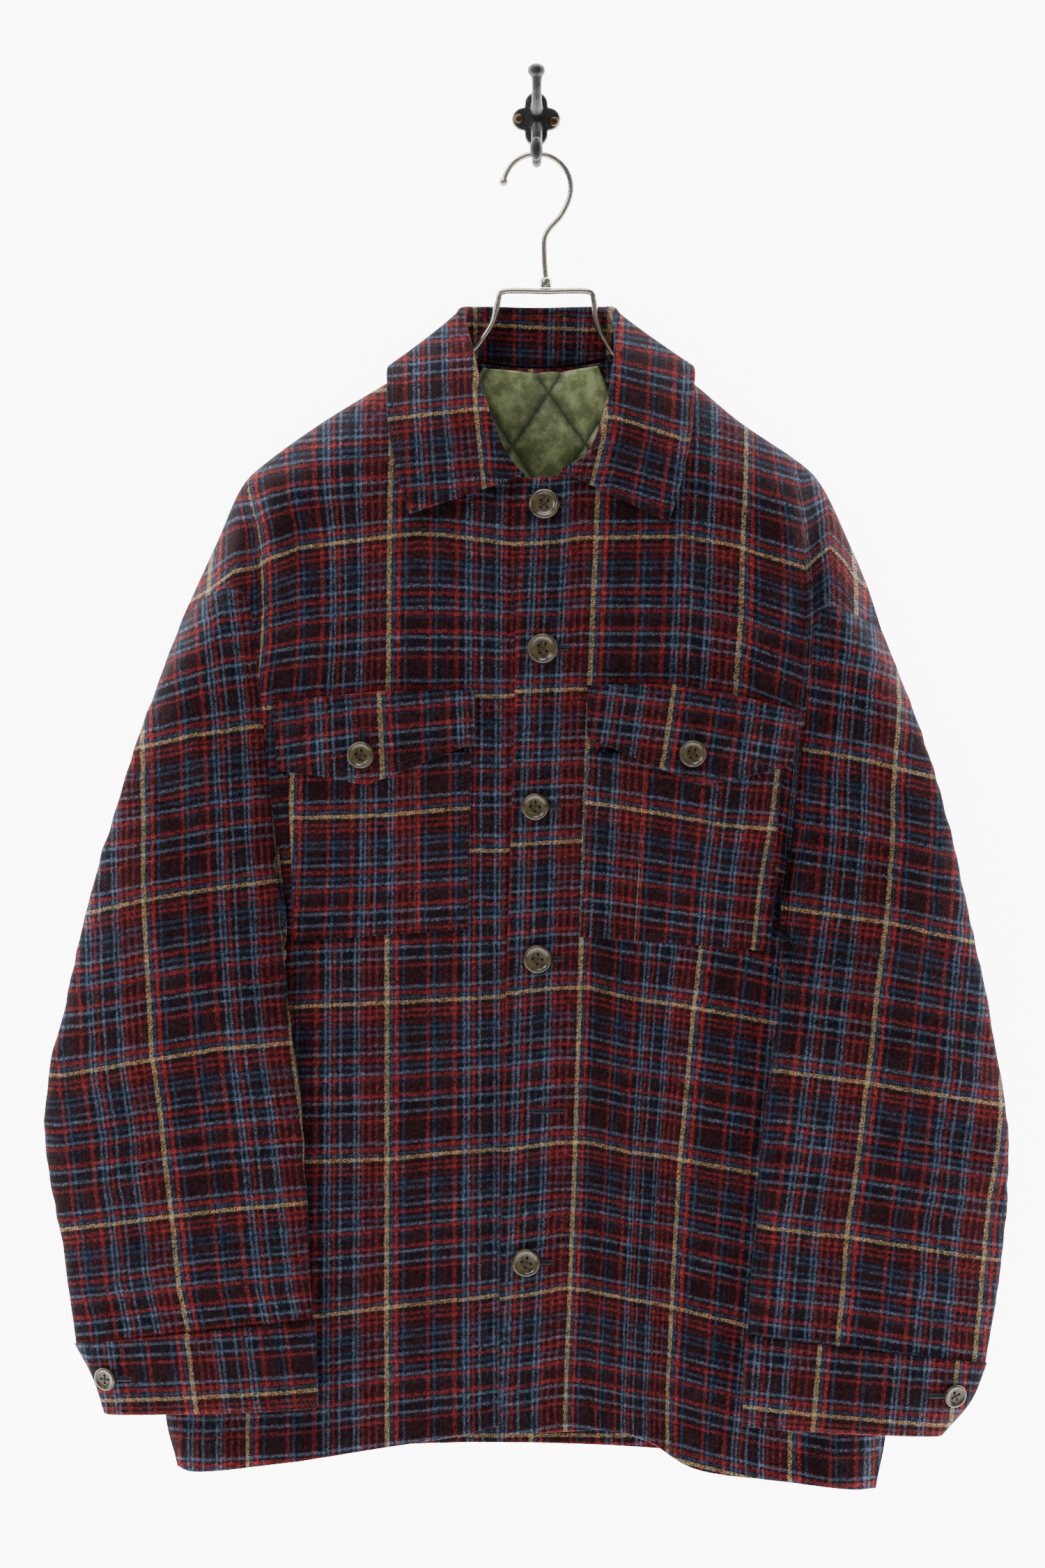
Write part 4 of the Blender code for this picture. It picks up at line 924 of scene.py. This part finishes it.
def patch(node, plan, panel, lift, chart, material):
    """A piece that lies on a panel: its grid of x, z places is laid on the panel and moved out."""
    tree = tree_of(panel)
    base = np.array([[hit_front(tree, *place)[0] for place in column] for column in plan])
    for _ in range(6):
        base[1:-1, :, 1] = (base[:-2, :, 1] + 2 * base[1:-1, :, 1] + base[2:, :, 1]) / 4
        base[:, 1:-1, 1] = (base[:, :-2, 1] + 2 * base[:, 1:-1, 1] + base[:, 2:, 1]) / 4
    x, z = base[..., 0], base[..., 2]
    height = crease(base, CREASES[node])
    forward, groove = np.clip(height, 0, None), np.clip(-height, 0, lift - 0.3)
    under = base - np.array((0, 1, 0)) * (lift + forward - groove)[..., None]
    cut = check_places(under, *chart)
    if node in TUCKS:
        (x0, z0), (x1, z1), hidden = TUCKS[node]
        beside = x - x0 - (x1 - x0) * (z0 - z) / (z0 - z1)
        cut[..., 0] += (beside > 0) * hidden / WARP_REPEAT
        under[..., 1] += TUCK_DEPTH * np.exp(-(beside / 0.9) ** 2)
    return sheet(f"shell_{node}", under - np.array((0, POCKET_WALL, 0)), under, cut, material, node)


def pocket(side, panel, material):
    a, b, c, d = (np.array(corner, float) for corner in POCKET[side])
    shares = even(POCKET_STEPS)
    v = shares[:, None]
    start, end = (1 - v) * a + v * d, (1 - v) * b + v * c
    (x0, z0), (x1, z1), _ = TUCKS[f"pocket_{side}"]
    tuck = (x0 + (x1 - x0) * (z0 - start[:, 1]) / (z0 - z1) - start[:, 0]) / (end[:, 0] - start[:, 0])
    k = int(tuck.mean() * POCKET_STEPS)
    close = 0, k / POCKET_STEPS, (k + 1) / POCKET_STEPS, 1
    u = np.stack([np.interp(shares, close, (0, t - 0.002, t + 0.002, 1)) for t in tuck], axis=1)
    plan = (1 - u[..., None]) * start + u[..., None] * end
    return patch(f"pocket_{side}", plan, panel, POCKET_LIFT, POCKET_CHECK[side], material)


def flap(side, panel, material):
    across, down = FLAP_STEPS
    rows = even(len(FLAP_TOP[side]) - 1)
    top, low = (sampled(np.array(line[side], float), rows, even(across)) for line in (FLAP_TOP, FLAP_BOTTOM))
    v = even(down)[None, :, None]
    plan = (1 - v) * top[:, None] + v * low[:, None]
    return patch(f"pocket_flap_{side}", plan, panel, FLAP_LIFT, FLAP_CHECK[side], material)


class Tree:
    """Short names for making and linking a material's nodes."""

    def __init__(self, name):
        self.material = bpy.data.materials.new(name)
        self.material.use_nodes = True
        self.nodes = self.material.node_tree.nodes
        self.links = self.material.node_tree.links
        self.shader = self.nodes["Principled BSDF"]

    def put(self, socket, value):
        if isinstance(value, bpy.types.NodeSocket):
            self.links.new(value, socket)
        else:
            socket.default_value = value

    def node(self, kind, *values, **settings):
        made = self.nodes.new("ShaderNode" + kind)
        for key, value in settings.items():
            setattr(made, key, value)
        for socket, value in zip(made.inputs, values):
            if value is not None:
                self.put(socket, value)
        return made

    def place(self):
        return self.node("TexCoord").outputs["Object"]

    def cut(self):
        return self.node("UVMap", uv_map="cut").outputs[0]

    def math(self, operation, *values):
        return self.node("Math", *values, operation=operation).outputs[0]

    def vector(self, operation, *values):
        return self.node("VectorMath", *values, operation=operation).outputs[0]

    def spread(self, value, *ranges):
        """Stretches a range of the value, from and to, over 0 to 1 or over a second range."""
        return self.node("MapRange", value, *ranges).outputs[0]

    def mix(self, share, a, b):
        made = self.node("Mix", data_type="RGBA")
        for socket, value in zip((0, 6, 7), (share, a, b)):
            self.put(made.inputs[socket], value)
        return made.outputs[2]

    def ramp(self, value, stops):
        made = self.node("ValToRGB", value)
        elements = made.color_ramp.elements
        while len(elements) > 1:
            elements.remove(elements[-1])
        for k, (place, colour) in enumerate(stops):
            element = elements[0] if k == 0 else elements.new(place)
            element.position = place
            element.color = colour
        return made.outputs[0]

    def noise(self, vector, scale, detail=2.0, roughness=0.5, distortion=0.0, output="Fac"):
        made = self.node("TexNoise", vector)
        for name, value in (("Scale", scale), ("Detail", detail), ("Roughness", roughness),
                            ("Distortion", distortion)):
            made.inputs[name].default_value = value
        return made.outputs[output]

    def bump(self, height, distance, strength):
        made = self.node("Bump")
        for name, value in (("Strength", strength), ("Distance", distance), ("Height", height)):
            self.put(made.inputs[name], value)
        return made.outputs["Normal"]

    def finish(self, **values):
        for name, value in values.items():
            self.put(self.shader.inputs[name.replace("_", " ")], value)
        return self.material


def light(*channels, gain=1.0):
    """A colour given as 0 to 255 display values, as linear light with full alpha."""
    c = np.array(channels) / 255
    linear = np.where(c <= 0.04045, c / 12.92, ((c + 0.055) / 1.055) ** 2.4)
    return (*(min(float(v) * gain, 1) for v in linear), 1)


MAROON, NAVY = light(34, 17, 20), light(15, 19, 27)
RED, DEEP_RED, BRIGHT_RED = light(106, 35, 36), light(62, 22, 25), light(134, 40, 38)
BLUE, PALE_BLUE, DIM_BLUE = light(45, 55, 74), light(74, 84, 102), light(30, 35, 47)
CREAM = light(146, 126, 92)

# The check's stripes over one repeat: offset from the cream line and width, in thousandths of the repeat,
# the stripe's colour, and the colour of the ground after it.
WARP_STRIPES = [(0, 28, CREAM, NAVY), (35, 19, BLUE, NAVY), (66, 24, BRIGHT_RED, NAVY),
                (118, 12, BLUE, MAROON), (292, 16, RED, NAVY), (335, 13, BLUE, NAVY),
                (378, 8, DIM_BLUE, MAROON), (415, 8, DEEP_RED, MAROON), (480, 24, RED, NAVY),
                (547, 12, PALE_BLUE, NAVY), (580, 12, PALE_BLUE, NAVY), (614, 14, RED, NAVY),
                (660, 11, PALE_BLUE, MAROON), (710, 8, DIM_BLUE, NAVY), (762, 11, PALE_BLUE, NAVY),
                (794, 11, PALE_BLUE, NAVY), (824, 14, RED, MAROON), (872, 14, RED, MAROON),
                (925, 16, RED, MAROON), (957, 10, DEEP_RED, MAROON)]
WEFT_STRIPES = [(0, 20, CREAM, MAROON), (55, 13, RED, MAROON), (92, 14, RED, MAROON),
                (134, 11, DEEP_RED, NAVY), (167, 12, BLUE, NAVY), (206, 14, BLUE, MAROON),
                (274, 12, BLUE, NAVY), (318, 12, PALE_BLUE, MAROON), (365, 16, RED, NAVY),
                (408, 13, BLUE, NAVY), (453, 12, PALE_BLUE, NAVY), (485, 18, RED, MAROON),
                (512, 8, DIM_BLUE, MAROON), (597, 18, RED, NAVY), (634, 12, PALE_BLUE, NAVY),
                (706, 12, PALE_BLUE, MAROON), (756, 11, RED, MAROON), (900, 12, PALE_BLUE, NAVY),
                (940, 22, RED, NAVY), (972, 17, BLUE, NAVY)]
WARP_START, WEFT_START = 200, 830  # offsets at which each repeat is cut open, both in plain ground
STRIPES_A_RAMP = 7
STRIPE_BLUR = 7  # thousandths over which a stripe's colour fades into the ground


def striped(tree, place, table, start):
    """The colour of one set of yarns: colour ramps side by side, each with a few stripes."""
    share = tree.math("FRACT", tree.math("SUBTRACT", place, start / 1000))
    rows = sorted(((row[0] - start) % 1000, *row[1:]) for row in table)
    result, ground = None, rows[-1][3]
    for first in range(0, len(rows), STRIPES_A_RAMP):
        stops = [(0.0, ground)]
        for offset, width, colour, after in rows[first:first + STRIPES_A_RAMP]:
            low, high = offset - width / 2, offset + width / 2
            stops += [((low - STRIPE_BLUR) / 1000, ground), (low / 1000, colour), (high / 1000, colour),
                      ((high + STRIPE_BLUR) / 1000, after)]
            ground = after
        ramp = tree.ramp(share, stops)
        if result is not None:
            begin = (rows[first][0] - rows[first][1] / 2 - STRIPE_BLUR) / 1000
            ramp = tree.mix(tree.math("GREATER_THAN", share, begin), result, ramp)
        result = ramp
    return result


def wool_material():
    """Brushed 2/2 twill: warp and weft stripes that show in turn along slanting ribs, with a short nap."""
    t = Tree("wool_check")
    place, moved = t.place(), t.cut()
    for scale, reach in ((110, 0.01), (800, 0.022)):
        shift = t.vector("SUBTRACT", t.noise(place, scale, output="Color"), (0.5, 0.5, 0.5))
        moved = t.vector("ADD", moved, t.vector("MULTIPLY", shift, (reach, reach, 0)))
    parts = t.node("SeparateXYZ", moved).outputs
    warps = striped(t, parts[0], WARP_STRIPES, WARP_START)
    wefts = striped(t, parts[1], WEFT_STRIPES, WEFT_START)
    slant = t.math("ADD", t.math("MULTIPLY", parts[0], WARP_REPEAT / RIB),
                   t.math("MULTIPLY", parts[1], WEFT_REPEAT / RIB))
    rib = t.math("ABSOLUTE", t.math("SUBTRACT", t.math("FRACT", slant), 0.5))
    weave = t.mix(t.spread(rib, 0.17, 0.33), warps, wefts)
    fuzz, worn, slub = t.noise(place, 1900, 3, 0.7), t.noise(place, 45, 3), t.noise(place, 420, 2, 0.6)
    bright = t.math("MULTIPLY", t.spread(fuzz, 0.3, 0.7, 0.5, 1.4), t.spread(worn, 0.35, 0.65, 0.88, 1.12))
    bright = t.math("MULTIPLY", bright, t.spread(slub, 0.34, 0.66, 0.45, 1.45))
    napped = t.vector("SCALE", weave, None, None, bright)
    ribs = t.spread(rib, 0.0, 0.5, 1.0, 0.0)
    height = t.math("ADD", t.math("MULTIPLY", ribs, 0.45), t.math("MULTIPLY", fuzz, 0.9))
    return t.finish(Base_Color=napped, Roughness=0.92, Normal=t.bump(height, 0.00035, 0.8), Sheen_Weight=0.03,
                    Sheen_Roughness=0.4, Sheen_Tint=(0.7, 0.68, 0.72, 1), Specular_IOR_Level=0.05)


def satin_material():
    """Olive jacquard satin: soft lustre with faint paler figures, and painted shade that darkens it towards
    the stitched valleys.
    """
    t = Tree("lining_satin")
    place = t.place()
    figure = t.spread(t.noise(place, 90, 5, 0.7), 0.42, 0.6)
    tint = t.mix(figure, light(102, 112, 70), light(154, 163, 114))
    across, down = t.node("SeparateXYZ", t.cut()).outputs[:2]
    slopes = []
    for direction in ("ADD", "SUBTRACT"):
        wrapped = t.math("FLOORED_MODULO", t.math("ADD", t.math(direction, across, down), 2.0), 4.0)
        slopes.append(t.math("ABSOLUTE", t.math("SUBTRACT", wrapped, 2.0)))
    # Painted shade: the colour darkens towards each stitched valley, where the puffs shade the recess between
    # them.
    deep = t.spread(t.math("MINIMUM", *slopes), 0.0, 0.5)
    tint = t.mix(t.math("POWER", deep, 0.7), light(30, 38, 18), tint)
    weave = t.noise(t.vector("MULTIPLY", place, (3000, 3000, 500)), 1, 1)
    height = t.math("ADD", weave, t.math("MULTIPLY", t.noise(place, 160, 3), 2.5))
    return t.finish(Base_Color=tint, Roughness=t.spread(figure, 0, 1, 0.42, 0.3), Sheen_Weight=0.15,
                    Normal=t.bump(height, 0.0005, 0.5), Anisotropic=0.4, Specular_IOR_Level=0.55)


def horn_material():
    """Horn-look polyester: olive brown with darker drifting veins, glossy."""
    t = Tree("button_horn")
    tint = t.ramp(t.noise(t.place(), 90, 4, distortion=1.6),
                  [(0.3, light(20, 14, 7)), (0.42, light(44, 34, 17)), (0.56, light(74, 63, 35)),
                   (0.72, light(36, 26, 12))])
    return t.finish(Base_Color=tint, Roughness=0.3, Coat_Weight=0.25, Coat_Roughness=0.08, IOR=1.54,
                    Subsurface_Weight=0.0)


def thread_material(name, *channels):
    t = Tree(name)
    twist = t.noise(t.place(), 3000, 2)
    tint = t.mix(twist, light(*channels, gain=0.7), light(*channels, gain=1.3))
    return t.finish(Base_Color=tint, Roughness=0.75, Normal=t.bump(twist, 0.0001, 0.6))


def plated_material():
    """Dull nickel plate with fine drawn lines and slight blotches."""
    t = Tree("hanger_plate")
    place = t.place()
    tint = t.mix(t.noise(place, 220, 3), light(150, 142, 130), light(190, 184, 172))
    rough = t.spread(t.noise(place, 1400, 2), 0.3, 0.7, 0.16, 0.34)
    return t.finish(Base_Color=tint, Metallic=1.0, Roughness=rough,
                    Normal=t.bump(t.noise(place, 900, 2), 0.0001, 0.3))


def iron_material():
    """Black painted cast iron with the pitted skin of a sand mould and worn high spots."""
    t = Tree("cast_iron")
    place = t.place()
    pits, broad = t.noise(place, 700, 4, 0.65), t.noise(place, 160, 3)
    tint = t.mix(t.spread(t.math("MULTIPLY", pits, broad), 0.3, 0.42), light(15, 15, 16), light(40, 37, 36))
    height = t.math("ADD", t.math("MULTIPLY", broad, 3.0), pits)
    return t.finish(Base_Color=tint, Metallic=0.2, Roughness=t.spread(pits, 0.3, 0.7, 0.4, 0.65),
                    Normal=t.bump(height, 0.0006, 0.6))


def screw_material():
    t = Tree("screw_brown")
    place = t.place()
    tint = t.mix(t.noise(place, 900, 3), light(52, 36, 26), light(112, 84, 60))
    return t.finish(Base_Color=tint, Metallic=0.8, Roughness=0.4,
                    Normal=t.bump(t.noise(place, 1500, 3), 0.0002, 0.5))


def lining(panel, material):
    """Quilted lining inside the upper back: plump diamonds between stitched valleys."""
    columns, rows = LINING_COLUMNS * LINING_FINE, LINING_ROWS * LINING_FINE
    x = np.linspace(LINING_MIDDLE - LINING_HALF_WIDTH, LINING_MIDDLE + LINING_HALF_WIDTH, columns + 1)
    neck = smooth(BACK_NECK, even(60))
    seams = {side: np.array(SHOULDER[side], float) for side in SIDES}
    right, left = (np.interp(sign * x, sign * seams[side][:, 0], seams[side][:, 2])
                   for side, sign in SIGN.items())
    top = np.interp(x, neck[:, 0], neck[:, 2])
    top = np.where(x < neck[0, 0], right, np.where(x > neck[-1, 0], left, top))
    start = top - LINING_TOP - np.clip((np.abs(x - LINING_MIDDLE) - 42) / 8, 0, 1) * 22
    z = start[:, None] - np.arange(rows + 1)[None] * LINING_DIAMOND / 4 / LINING_FINE
    tree = tree_of(panel)
    grid = np.array([[hit_front(tree, x[i], place)[0] for place in z[i]] for i in range(columns + 1)])
    under = grid - np.array((0, LINING_LIFT, 0))
    i, j = np.indices(under.shape[:2]) / LINING_FINE - np.array(QUILT_SHIFT)[:, None, None]
    valley = np.minimum(np.abs((i + j + 2) % 4 - 2), np.abs((i - j + 2) % 4 - 2)) / 2
    puff = LINING_PUFF * (1 - (1 - np.clip(valley * 1.25, 0, 1)) ** 2.2)
    pucker = 0.35 * np.sin(i * 19 + 3 * np.sin(j * 2.2)) * np.exp(-(valley / 0.16) ** 2)
    puffed = under - np.array((0, 1, 0)) * (LINING_WALL + puff + pucker)[..., None]
    return sheet("quilted_lining", puffed, under, np.stack([i + 8, j + 8], axis=-1), material, "lining_back")


def turned(name, profile, radius, height, sides):
    """A mesh turned about Z; the profile runs from the top down, in shares of the radius and the height."""
    turn = np.linspace(0, 2 * np.pi, sides, endpoint=False)
    bm = bmesh.new()
    rings = []
    for out, up in profile:
        r, z = radius * out, height * up * MM
        rings.append([bm.verts.new((r * np.cos(a) * MM, r * np.sin(a) * MM, z))
                      for a in (turn if out else turn[:1])])
    for upper, lower in zip(rings, rings[1:]):
        for k in range(sides):
            a, b = upper[k % len(upper)], upper[(k + 1) % len(upper)]
            c, d = lower[(k + 1) % len(lower)], lower[k % len(lower)]
            bm.faces.new([a] + ([b] if b is not a else []) + [c] + ([d] if d is not c else []))
    bmesh.ops.recalc_face_normals(bm, faces=bm.faces)
    return mesh_of(bm, name)


def button_mesh(name, diameter, material):
    """A dished four-hole button with a rounded rim."""
    height = diameter * BUTTON_THICKNESS
    thing = add(name, turned(name, BUTTON_PROFILE, diameter / 2, height, 56))
    bm = bmesh.new()
    for turn in np.pi / 4 + np.arange(4) * np.pi / 2:
        middle = (Vector((np.cos(turn), np.sin(turn), 0)) * diameter * HOLE_PLACES * MM
                  + Vector((0, 0, height / 2 * MM)))
        bmesh.ops.create_cone(bm, cap_ends=True, segments=16, radius1=HOLE_RADIUS * MM,
                              radius2=HOLE_RADIUS * MM, depth=3 * height * MM,
                              matrix=Matrix.Translation(middle))
    drill = add("drill", mesh_of(bm, "drill"))
    cut = thing.modifiers.new("holes", "BOOLEAN")
    cut.operation, cut.solver, cut.object = "DIFFERENCE", "EXACT", drill
    mesh = baked(thing)
    bpy.data.objects.remove(drill)
    mesh.materials.append(material)
    mesh.shade_smooth()
    mesh.set_sharp_from_angle(angle=np.radians(45))
    return mesh


def cross_thread(diameter):
    """Crossed threads over a button's holes, as one mesh."""
    face, reach = diameter * BUTTON_THICKNESS * BUTTON_PROFILE[0][1], diameter * HOLE_PLACES * MM
    bm = bmesh.new()
    for turn in (np.pi / 4, 3 * np.pi / 4):
        for shift in (-0.2, 0.2):
            rows = []
            for s in np.linspace(-1, 1, 13):
                lift = face + 0.55 * (1 - abs(s) ** 4) - (1.6 if abs(s) > 0.99 else 0)
                along = Vector((np.cos(turn), np.sin(turn), 0)) * reach * s
                side = Vector((-np.sin(turn), np.cos(turn), 0)) * shift * MM
                rows.append(along + side + Vector((0, 0, lift * MM)))
            tube(bm, rows, 0.17 * MM, 6)
    return mesh_of(bm, "cross_thread")


def tube(bm, rows, radius, sides):
    """A closed tube along points in metres."""
    rows = [Vector(row) for row in rows]
    rings = []
    normal = None
    for k, row in enumerate(rows):
        ahead = rows[min(k + 1, len(rows) - 1)] - rows[max(k - 1, 0)]
        ahead.normalize()
        if normal is None:
            normal = ahead.orthogonal().normalized()
        normal = (normal - ahead * normal.dot(ahead)).normalized()
        other = ahead.cross(normal)
        rings.append([bm.verts.new(row + (normal * np.cos(a) + other * np.sin(a)) * radius)
                      for a in np.linspace(0, 2 * np.pi, sides, endpoint=False)])
    for low, high in zip(rings, rings[1:]):
        for k in range(sides):
            bm.faces.new((low[k], low[(k + 1) % sides], high[(k + 1) % sides], high[k]))
    bm.faces.new(rings[0][::-1])
    bm.faces.new(rings[-1])


def button(node, carrier, x, z, diameter, horn, thread):
    """A fine button in place of its node, with its threads."""
    point, normal = hit_front(tree_of(carrier), x, z)
    middle = Vector(point + normal * BUTTON_LIFT) * MM
    tilt = Vector(normal).to_track_quat("Z", "Y").to_matrix().to_4x4()
    spin = Matrix.Rotation(0.7 * np.sin(x + z), 4, "Z")
    mesh = button_mesh(f"fine_{node}", diameter, horn)
    threads = cross_thread(diameter)
    threads.materials.append(thread)
    threads.shade_smooth()
    for thing in (rider(f"fine_{node}", mesh, node), rider(f"thread_{node}", threads)):
        thing.matrix_world = Matrix.Translation(middle) @ tilt @ spin


def buttoned(name, carrier, place, start, reach, horn, thread, sewing):
    """A buttonhole and the button in it; start is the hole's end, seen from the button's middle."""
    x, z, diameter = place
    buttonhole(f"hole_{name}", carrier, x + start[0], z + start[1], reach, sewing)
    button(f"button_{name}", carrier, x, z, diameter, horn, thread)


def hanger(metal):
    """The hook, its ball tip, the ferrule and the yoke, in round plated wire."""
    turn = np.radians(np.linspace(HOOK_TIP_ANGLE, HOOK_LAST_ANGLE, 60))
    arc = np.array(HOOK_CENTRE) + HOOK_RADIUS * np.stack([np.cos(turn), np.sin(turn)], axis=1)
    hook = chain(arc, smooth(np.vstack([arc[-1:], HOOK_NECK]), even(50)))
    for name, route in (("hook", hook), ("yoke", smooth(YOKE, even(220)))):
        rows = [Vector((x, HANGER_Y, z)) * MM for x, z in route]
        bm = bmesh.new()
        tube(bm, rows, WIRE / 2 * MM, 20)
        if name == "hook":
            bmesh.ops.create_uvsphere(bm, u_segments=24, v_segments=16, radius=HOOK_BALL * MM,
                                      matrix=Matrix.Translation(rows[0]))
        add_smooth(bm, f"fine_{name}", metal, f"hanger_{name}")
    x, radius, height = FERRULE
    mesh = turned("fine_ferrule", FERRULE_PROFILE, radius, height, 40)
    thing = piece("fine_ferrule", mesh, metal, "hanger_ferrule", smooth_angle=50)
    thing.location = Vector((x, HANGER_Y, HOOK_NECK[-1][1] - SEAM_GAP - height)) * MM


def add_smooth(bm, name, material, *nodes):
    bmesh.ops.recalc_face_normals(bm, faces=bm.faces)
    return piece(name, mesh_of(bm, name), material, *nodes)


def baked(thing):
    """The object's mesh with its modifiers applied and without materials; the object is removed."""
    bpy.context.view_layer.update()
    mesh = bpy.data.meshes.new_from_object(thing.evaluated_get(bpy.context.evaluated_depsgraph_get()))
    bpy.data.objects.remove(thing)
    mesh.materials.clear()
    return mesh


def cast_hook(iron, brown, recess_shade):
    """The wall hook's casting, its solid's form remeshed and worn smooth, and the cross-head screws, whose
    cross recesses are painted shade: near-black boxes on the heads.
    """
    casting = add("fine_wall_hook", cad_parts["wall_hook"].data.copy())
    remesh = casting.modifiers.new("cast", "REMESH")
    remesh.mode, remesh.voxel_size = "VOXEL", 0.0006
    soften = casting.modifiers.new("worn", "SMOOTH")
    soften.factor, soften.iterations = 0.5, 6
    piece("fine_wall_hook", baked(casting), iron, "wall_hook", smooth_angle=80)
    radius, height = SCREW_HEAD
    for letter, (x, z) in zip("ab", SCREWS):
        head = turned(f"fine_screw_{letter}", SCREW_PROFILE, radius, height, 32)
        thing = piece(f"fine_screw_{letter}", head, brown, f"hook_screw_{letter}", smooth_angle=40)
        # Painted shade: two near-black crossed boxes on the head stand for the shade in the cross recess; no
        # recess is cut.
        bm = bmesh.new()
        for turn in (0.4, 0.4 + np.pi / 2):
            shape = Matrix.Diagonal((*(size * MM for size in SLOT), 1))
            middle = Matrix.Translation((0, 0, (height - 0.2) * MM))
            bmesh.ops.create_cube(bm, size=1, matrix=middle @ Matrix.Rotation(turn, 4, "Z") @ shape)
        for part in (thing, add_smooth(bm, f"screw_cross_shade_{letter}", recess_shade)):
            part.matrix_world = (Matrix.Translation(Vector((x, -PLATE_DEPTH - SEAM_GAP, z)) * MM)
                                 @ Matrix.Rotation(np.pi / 2, 4, "X"))


def studio():
    """Camera, pale backdrop and floor, and soft lights."""
    camera = add("camera", bpy.data.cameras.new("camera"))
    (x, z), = px((PHOTO_SIZE[0] / 2, PHOTO_SIZE[1] / 2))
    camera.location = Vector((x, CAMERA_AIM_Y, z)) * MM + Vector((0, -CAMERA_DISTANCE, 0))
    camera.rotation_euler = (np.pi / 2, 0, 0)
    camera.data.sensor_fit, camera.data.sensor_height = "VERTICAL", SENSOR
    camera.data.lens = SENSOR * CAMERA_DISTANCE / FRAME_HEIGHT
    camera.data.clip_end = 50
    bpy.context.scene.camera = camera

    pale = Tree("backdrop").finish(Base_Color=(0.92, 0.92, 0.92, 1), Roughness=0.9,
                                   Emission_Color=(1, 1, 1, 1), Emission_Strength=9.0)
    ground = Tree("floor").finish(Base_Color=(0.9, 0.9, 0.9, 1), Roughness=0.9)
    foot = (WALL_Y, FLOOR_Z)
    for name, material, near, far in (("backdrop", pale, foot, (WALL_Y, WALL_TOP)),
                                      ("floor", ground, (FLOOR_FRONT, FLOOR_Z), foot)):
        mesh = bpy.data.meshes.new(name)
        corners = [(-STAGE_REACH, *near), (STAGE_REACH, *near), (STAGE_REACH, *far), (-STAGE_REACH, *far)]
        mesh.from_pydata(corners, [], [(0, 1, 2, 3)])
        mesh.materials.append(material)
        add(name, mesh)

    world = bpy.data.worlds.new("studio")
    world.use_nodes = True
    background = world.node_tree.nodes["Background"]
    background.inputs["Color"].default_value = (1, 1, 1, 1)
    background.inputs["Strength"].default_value = 0.2
    bpy.context.scene.world = world
    for name, place, energy, size in LAMPS:
        lamp = bpy.data.lights.new(name, "AREA")
        lamp.energy, lamp.size = energy, size
        thing = add(name, lamp)
        thing.location = place
        thing.rotation_euler = (Vector(LIT_POINT) - Vector(place)).to_track_quat("-Z", "Y").to_euler()


def inset_ring(corners):
    """A line through the corners, moved towards their middle by the distance of the edge stitching."""
    corners = np.array(corners, float)
    middle = corners.mean(axis=0)
    lines = []
    for a, b in zip(corners[:-1], corners[1:]):
        along = (b - a) / np.linalg.norm(b - a)
        normal = np.array((-along[1], along[0]))
        normal *= np.sign(normal @ (middle - a))
        lines.append((a + normal * EDGE_STITCH, b + normal * EDGE_STITCH))
    path = [lines[0][0]]
    for (a, b), (c, d) in zip(lines[:-1], lines[1:]):
        table = np.array([b - a, c - d]).T
        crossing = abs(np.linalg.det(table)) > 1e-3
        path.append(a + (b - a) * np.linalg.solve(table, c - a)[0] if crossing else b)
    return np.array(path + [lines[-1][1]])


def main():
    wool, satin, horn = wool_material(), satin_material(), horn_material()
    thread = thread_material("button_thread", 40, 28, 20)
    sewing = thread_material("sewing_thread", 24, 20, 34)
    # Near-black colour that paints the shade in the screws' cross recesses.
    recess_shade = Tree("screw_recess_shade").finish(Base_Color=(0.01, 0.008, 0.006, 1), Roughness=0.8)
    metal, iron, brown = plated_material(), iron_material(), screw_material()
    looks = horn, thread, sewing
    lining(back_panel(wool), satin)
    collar(wool, sewing)
    fronts = {side: front_panel(side, wool) for side in SIDES}
    top = fronts["left"]
    for number, place in enumerate(FRONT_BUTTONS, 1):
        buttoned(f"front_{number}", top, place, (-2, 0), (20, 0), *looks)
    buttonhole("hole_front_empty", top, *EMPTY_HOLE, (22, 0), sewing)
    edge = smooth(FRONT_EDGE["left"], even(90))[:, [0, 2]]
    runs = [on_cloth(top, edge[3:] + (EDGE_STITCH, 0))]
    for side, front in fronts.items():
        hem = smooth(HEM[side], even(80))[:, [0, 2]]
        runs.append(on_cloth(front, hem[3:-6] + (0, HEM_DEPTH)))
    stitched("stitches_front", runs, sewing)
    for side, front in fronts.items():
        sleeve(side, front, wool)
        inward = -SIGN[side]
        buttoned(f"cuff_{side}", cuff(side, front, wool, sewing), CUFF_BUTTONS[side], (inward, 0),
                 (inward * 17, 0), *looks)
        bag = pocket(side, front, wool)
        a, b, c, d = POCKET[side]
        stitched(f"stitches_pocket_{side}", [on_cloth(bag, inset_ring((a, d, c, b)))], sewing)
        lid = flap(side, front, wool)
        rim = [FLAP_TOP[side][0], *FLAP_BOTTOM[side], FLAP_TOP[side][-1]]
        stitched(f"stitches_flap_{side}", [on_cloth(lid, inset_ring(rim))], sewing)
        buttoned(f"flap_{side}", lid, FLAP_BUTTONS[side], (0, -1), (0, 19), *looks)
    hanger(metal)
    cast_hook(iron, brown, recess_shade)
    studio()


main()
bpy.context.view_layer.update()
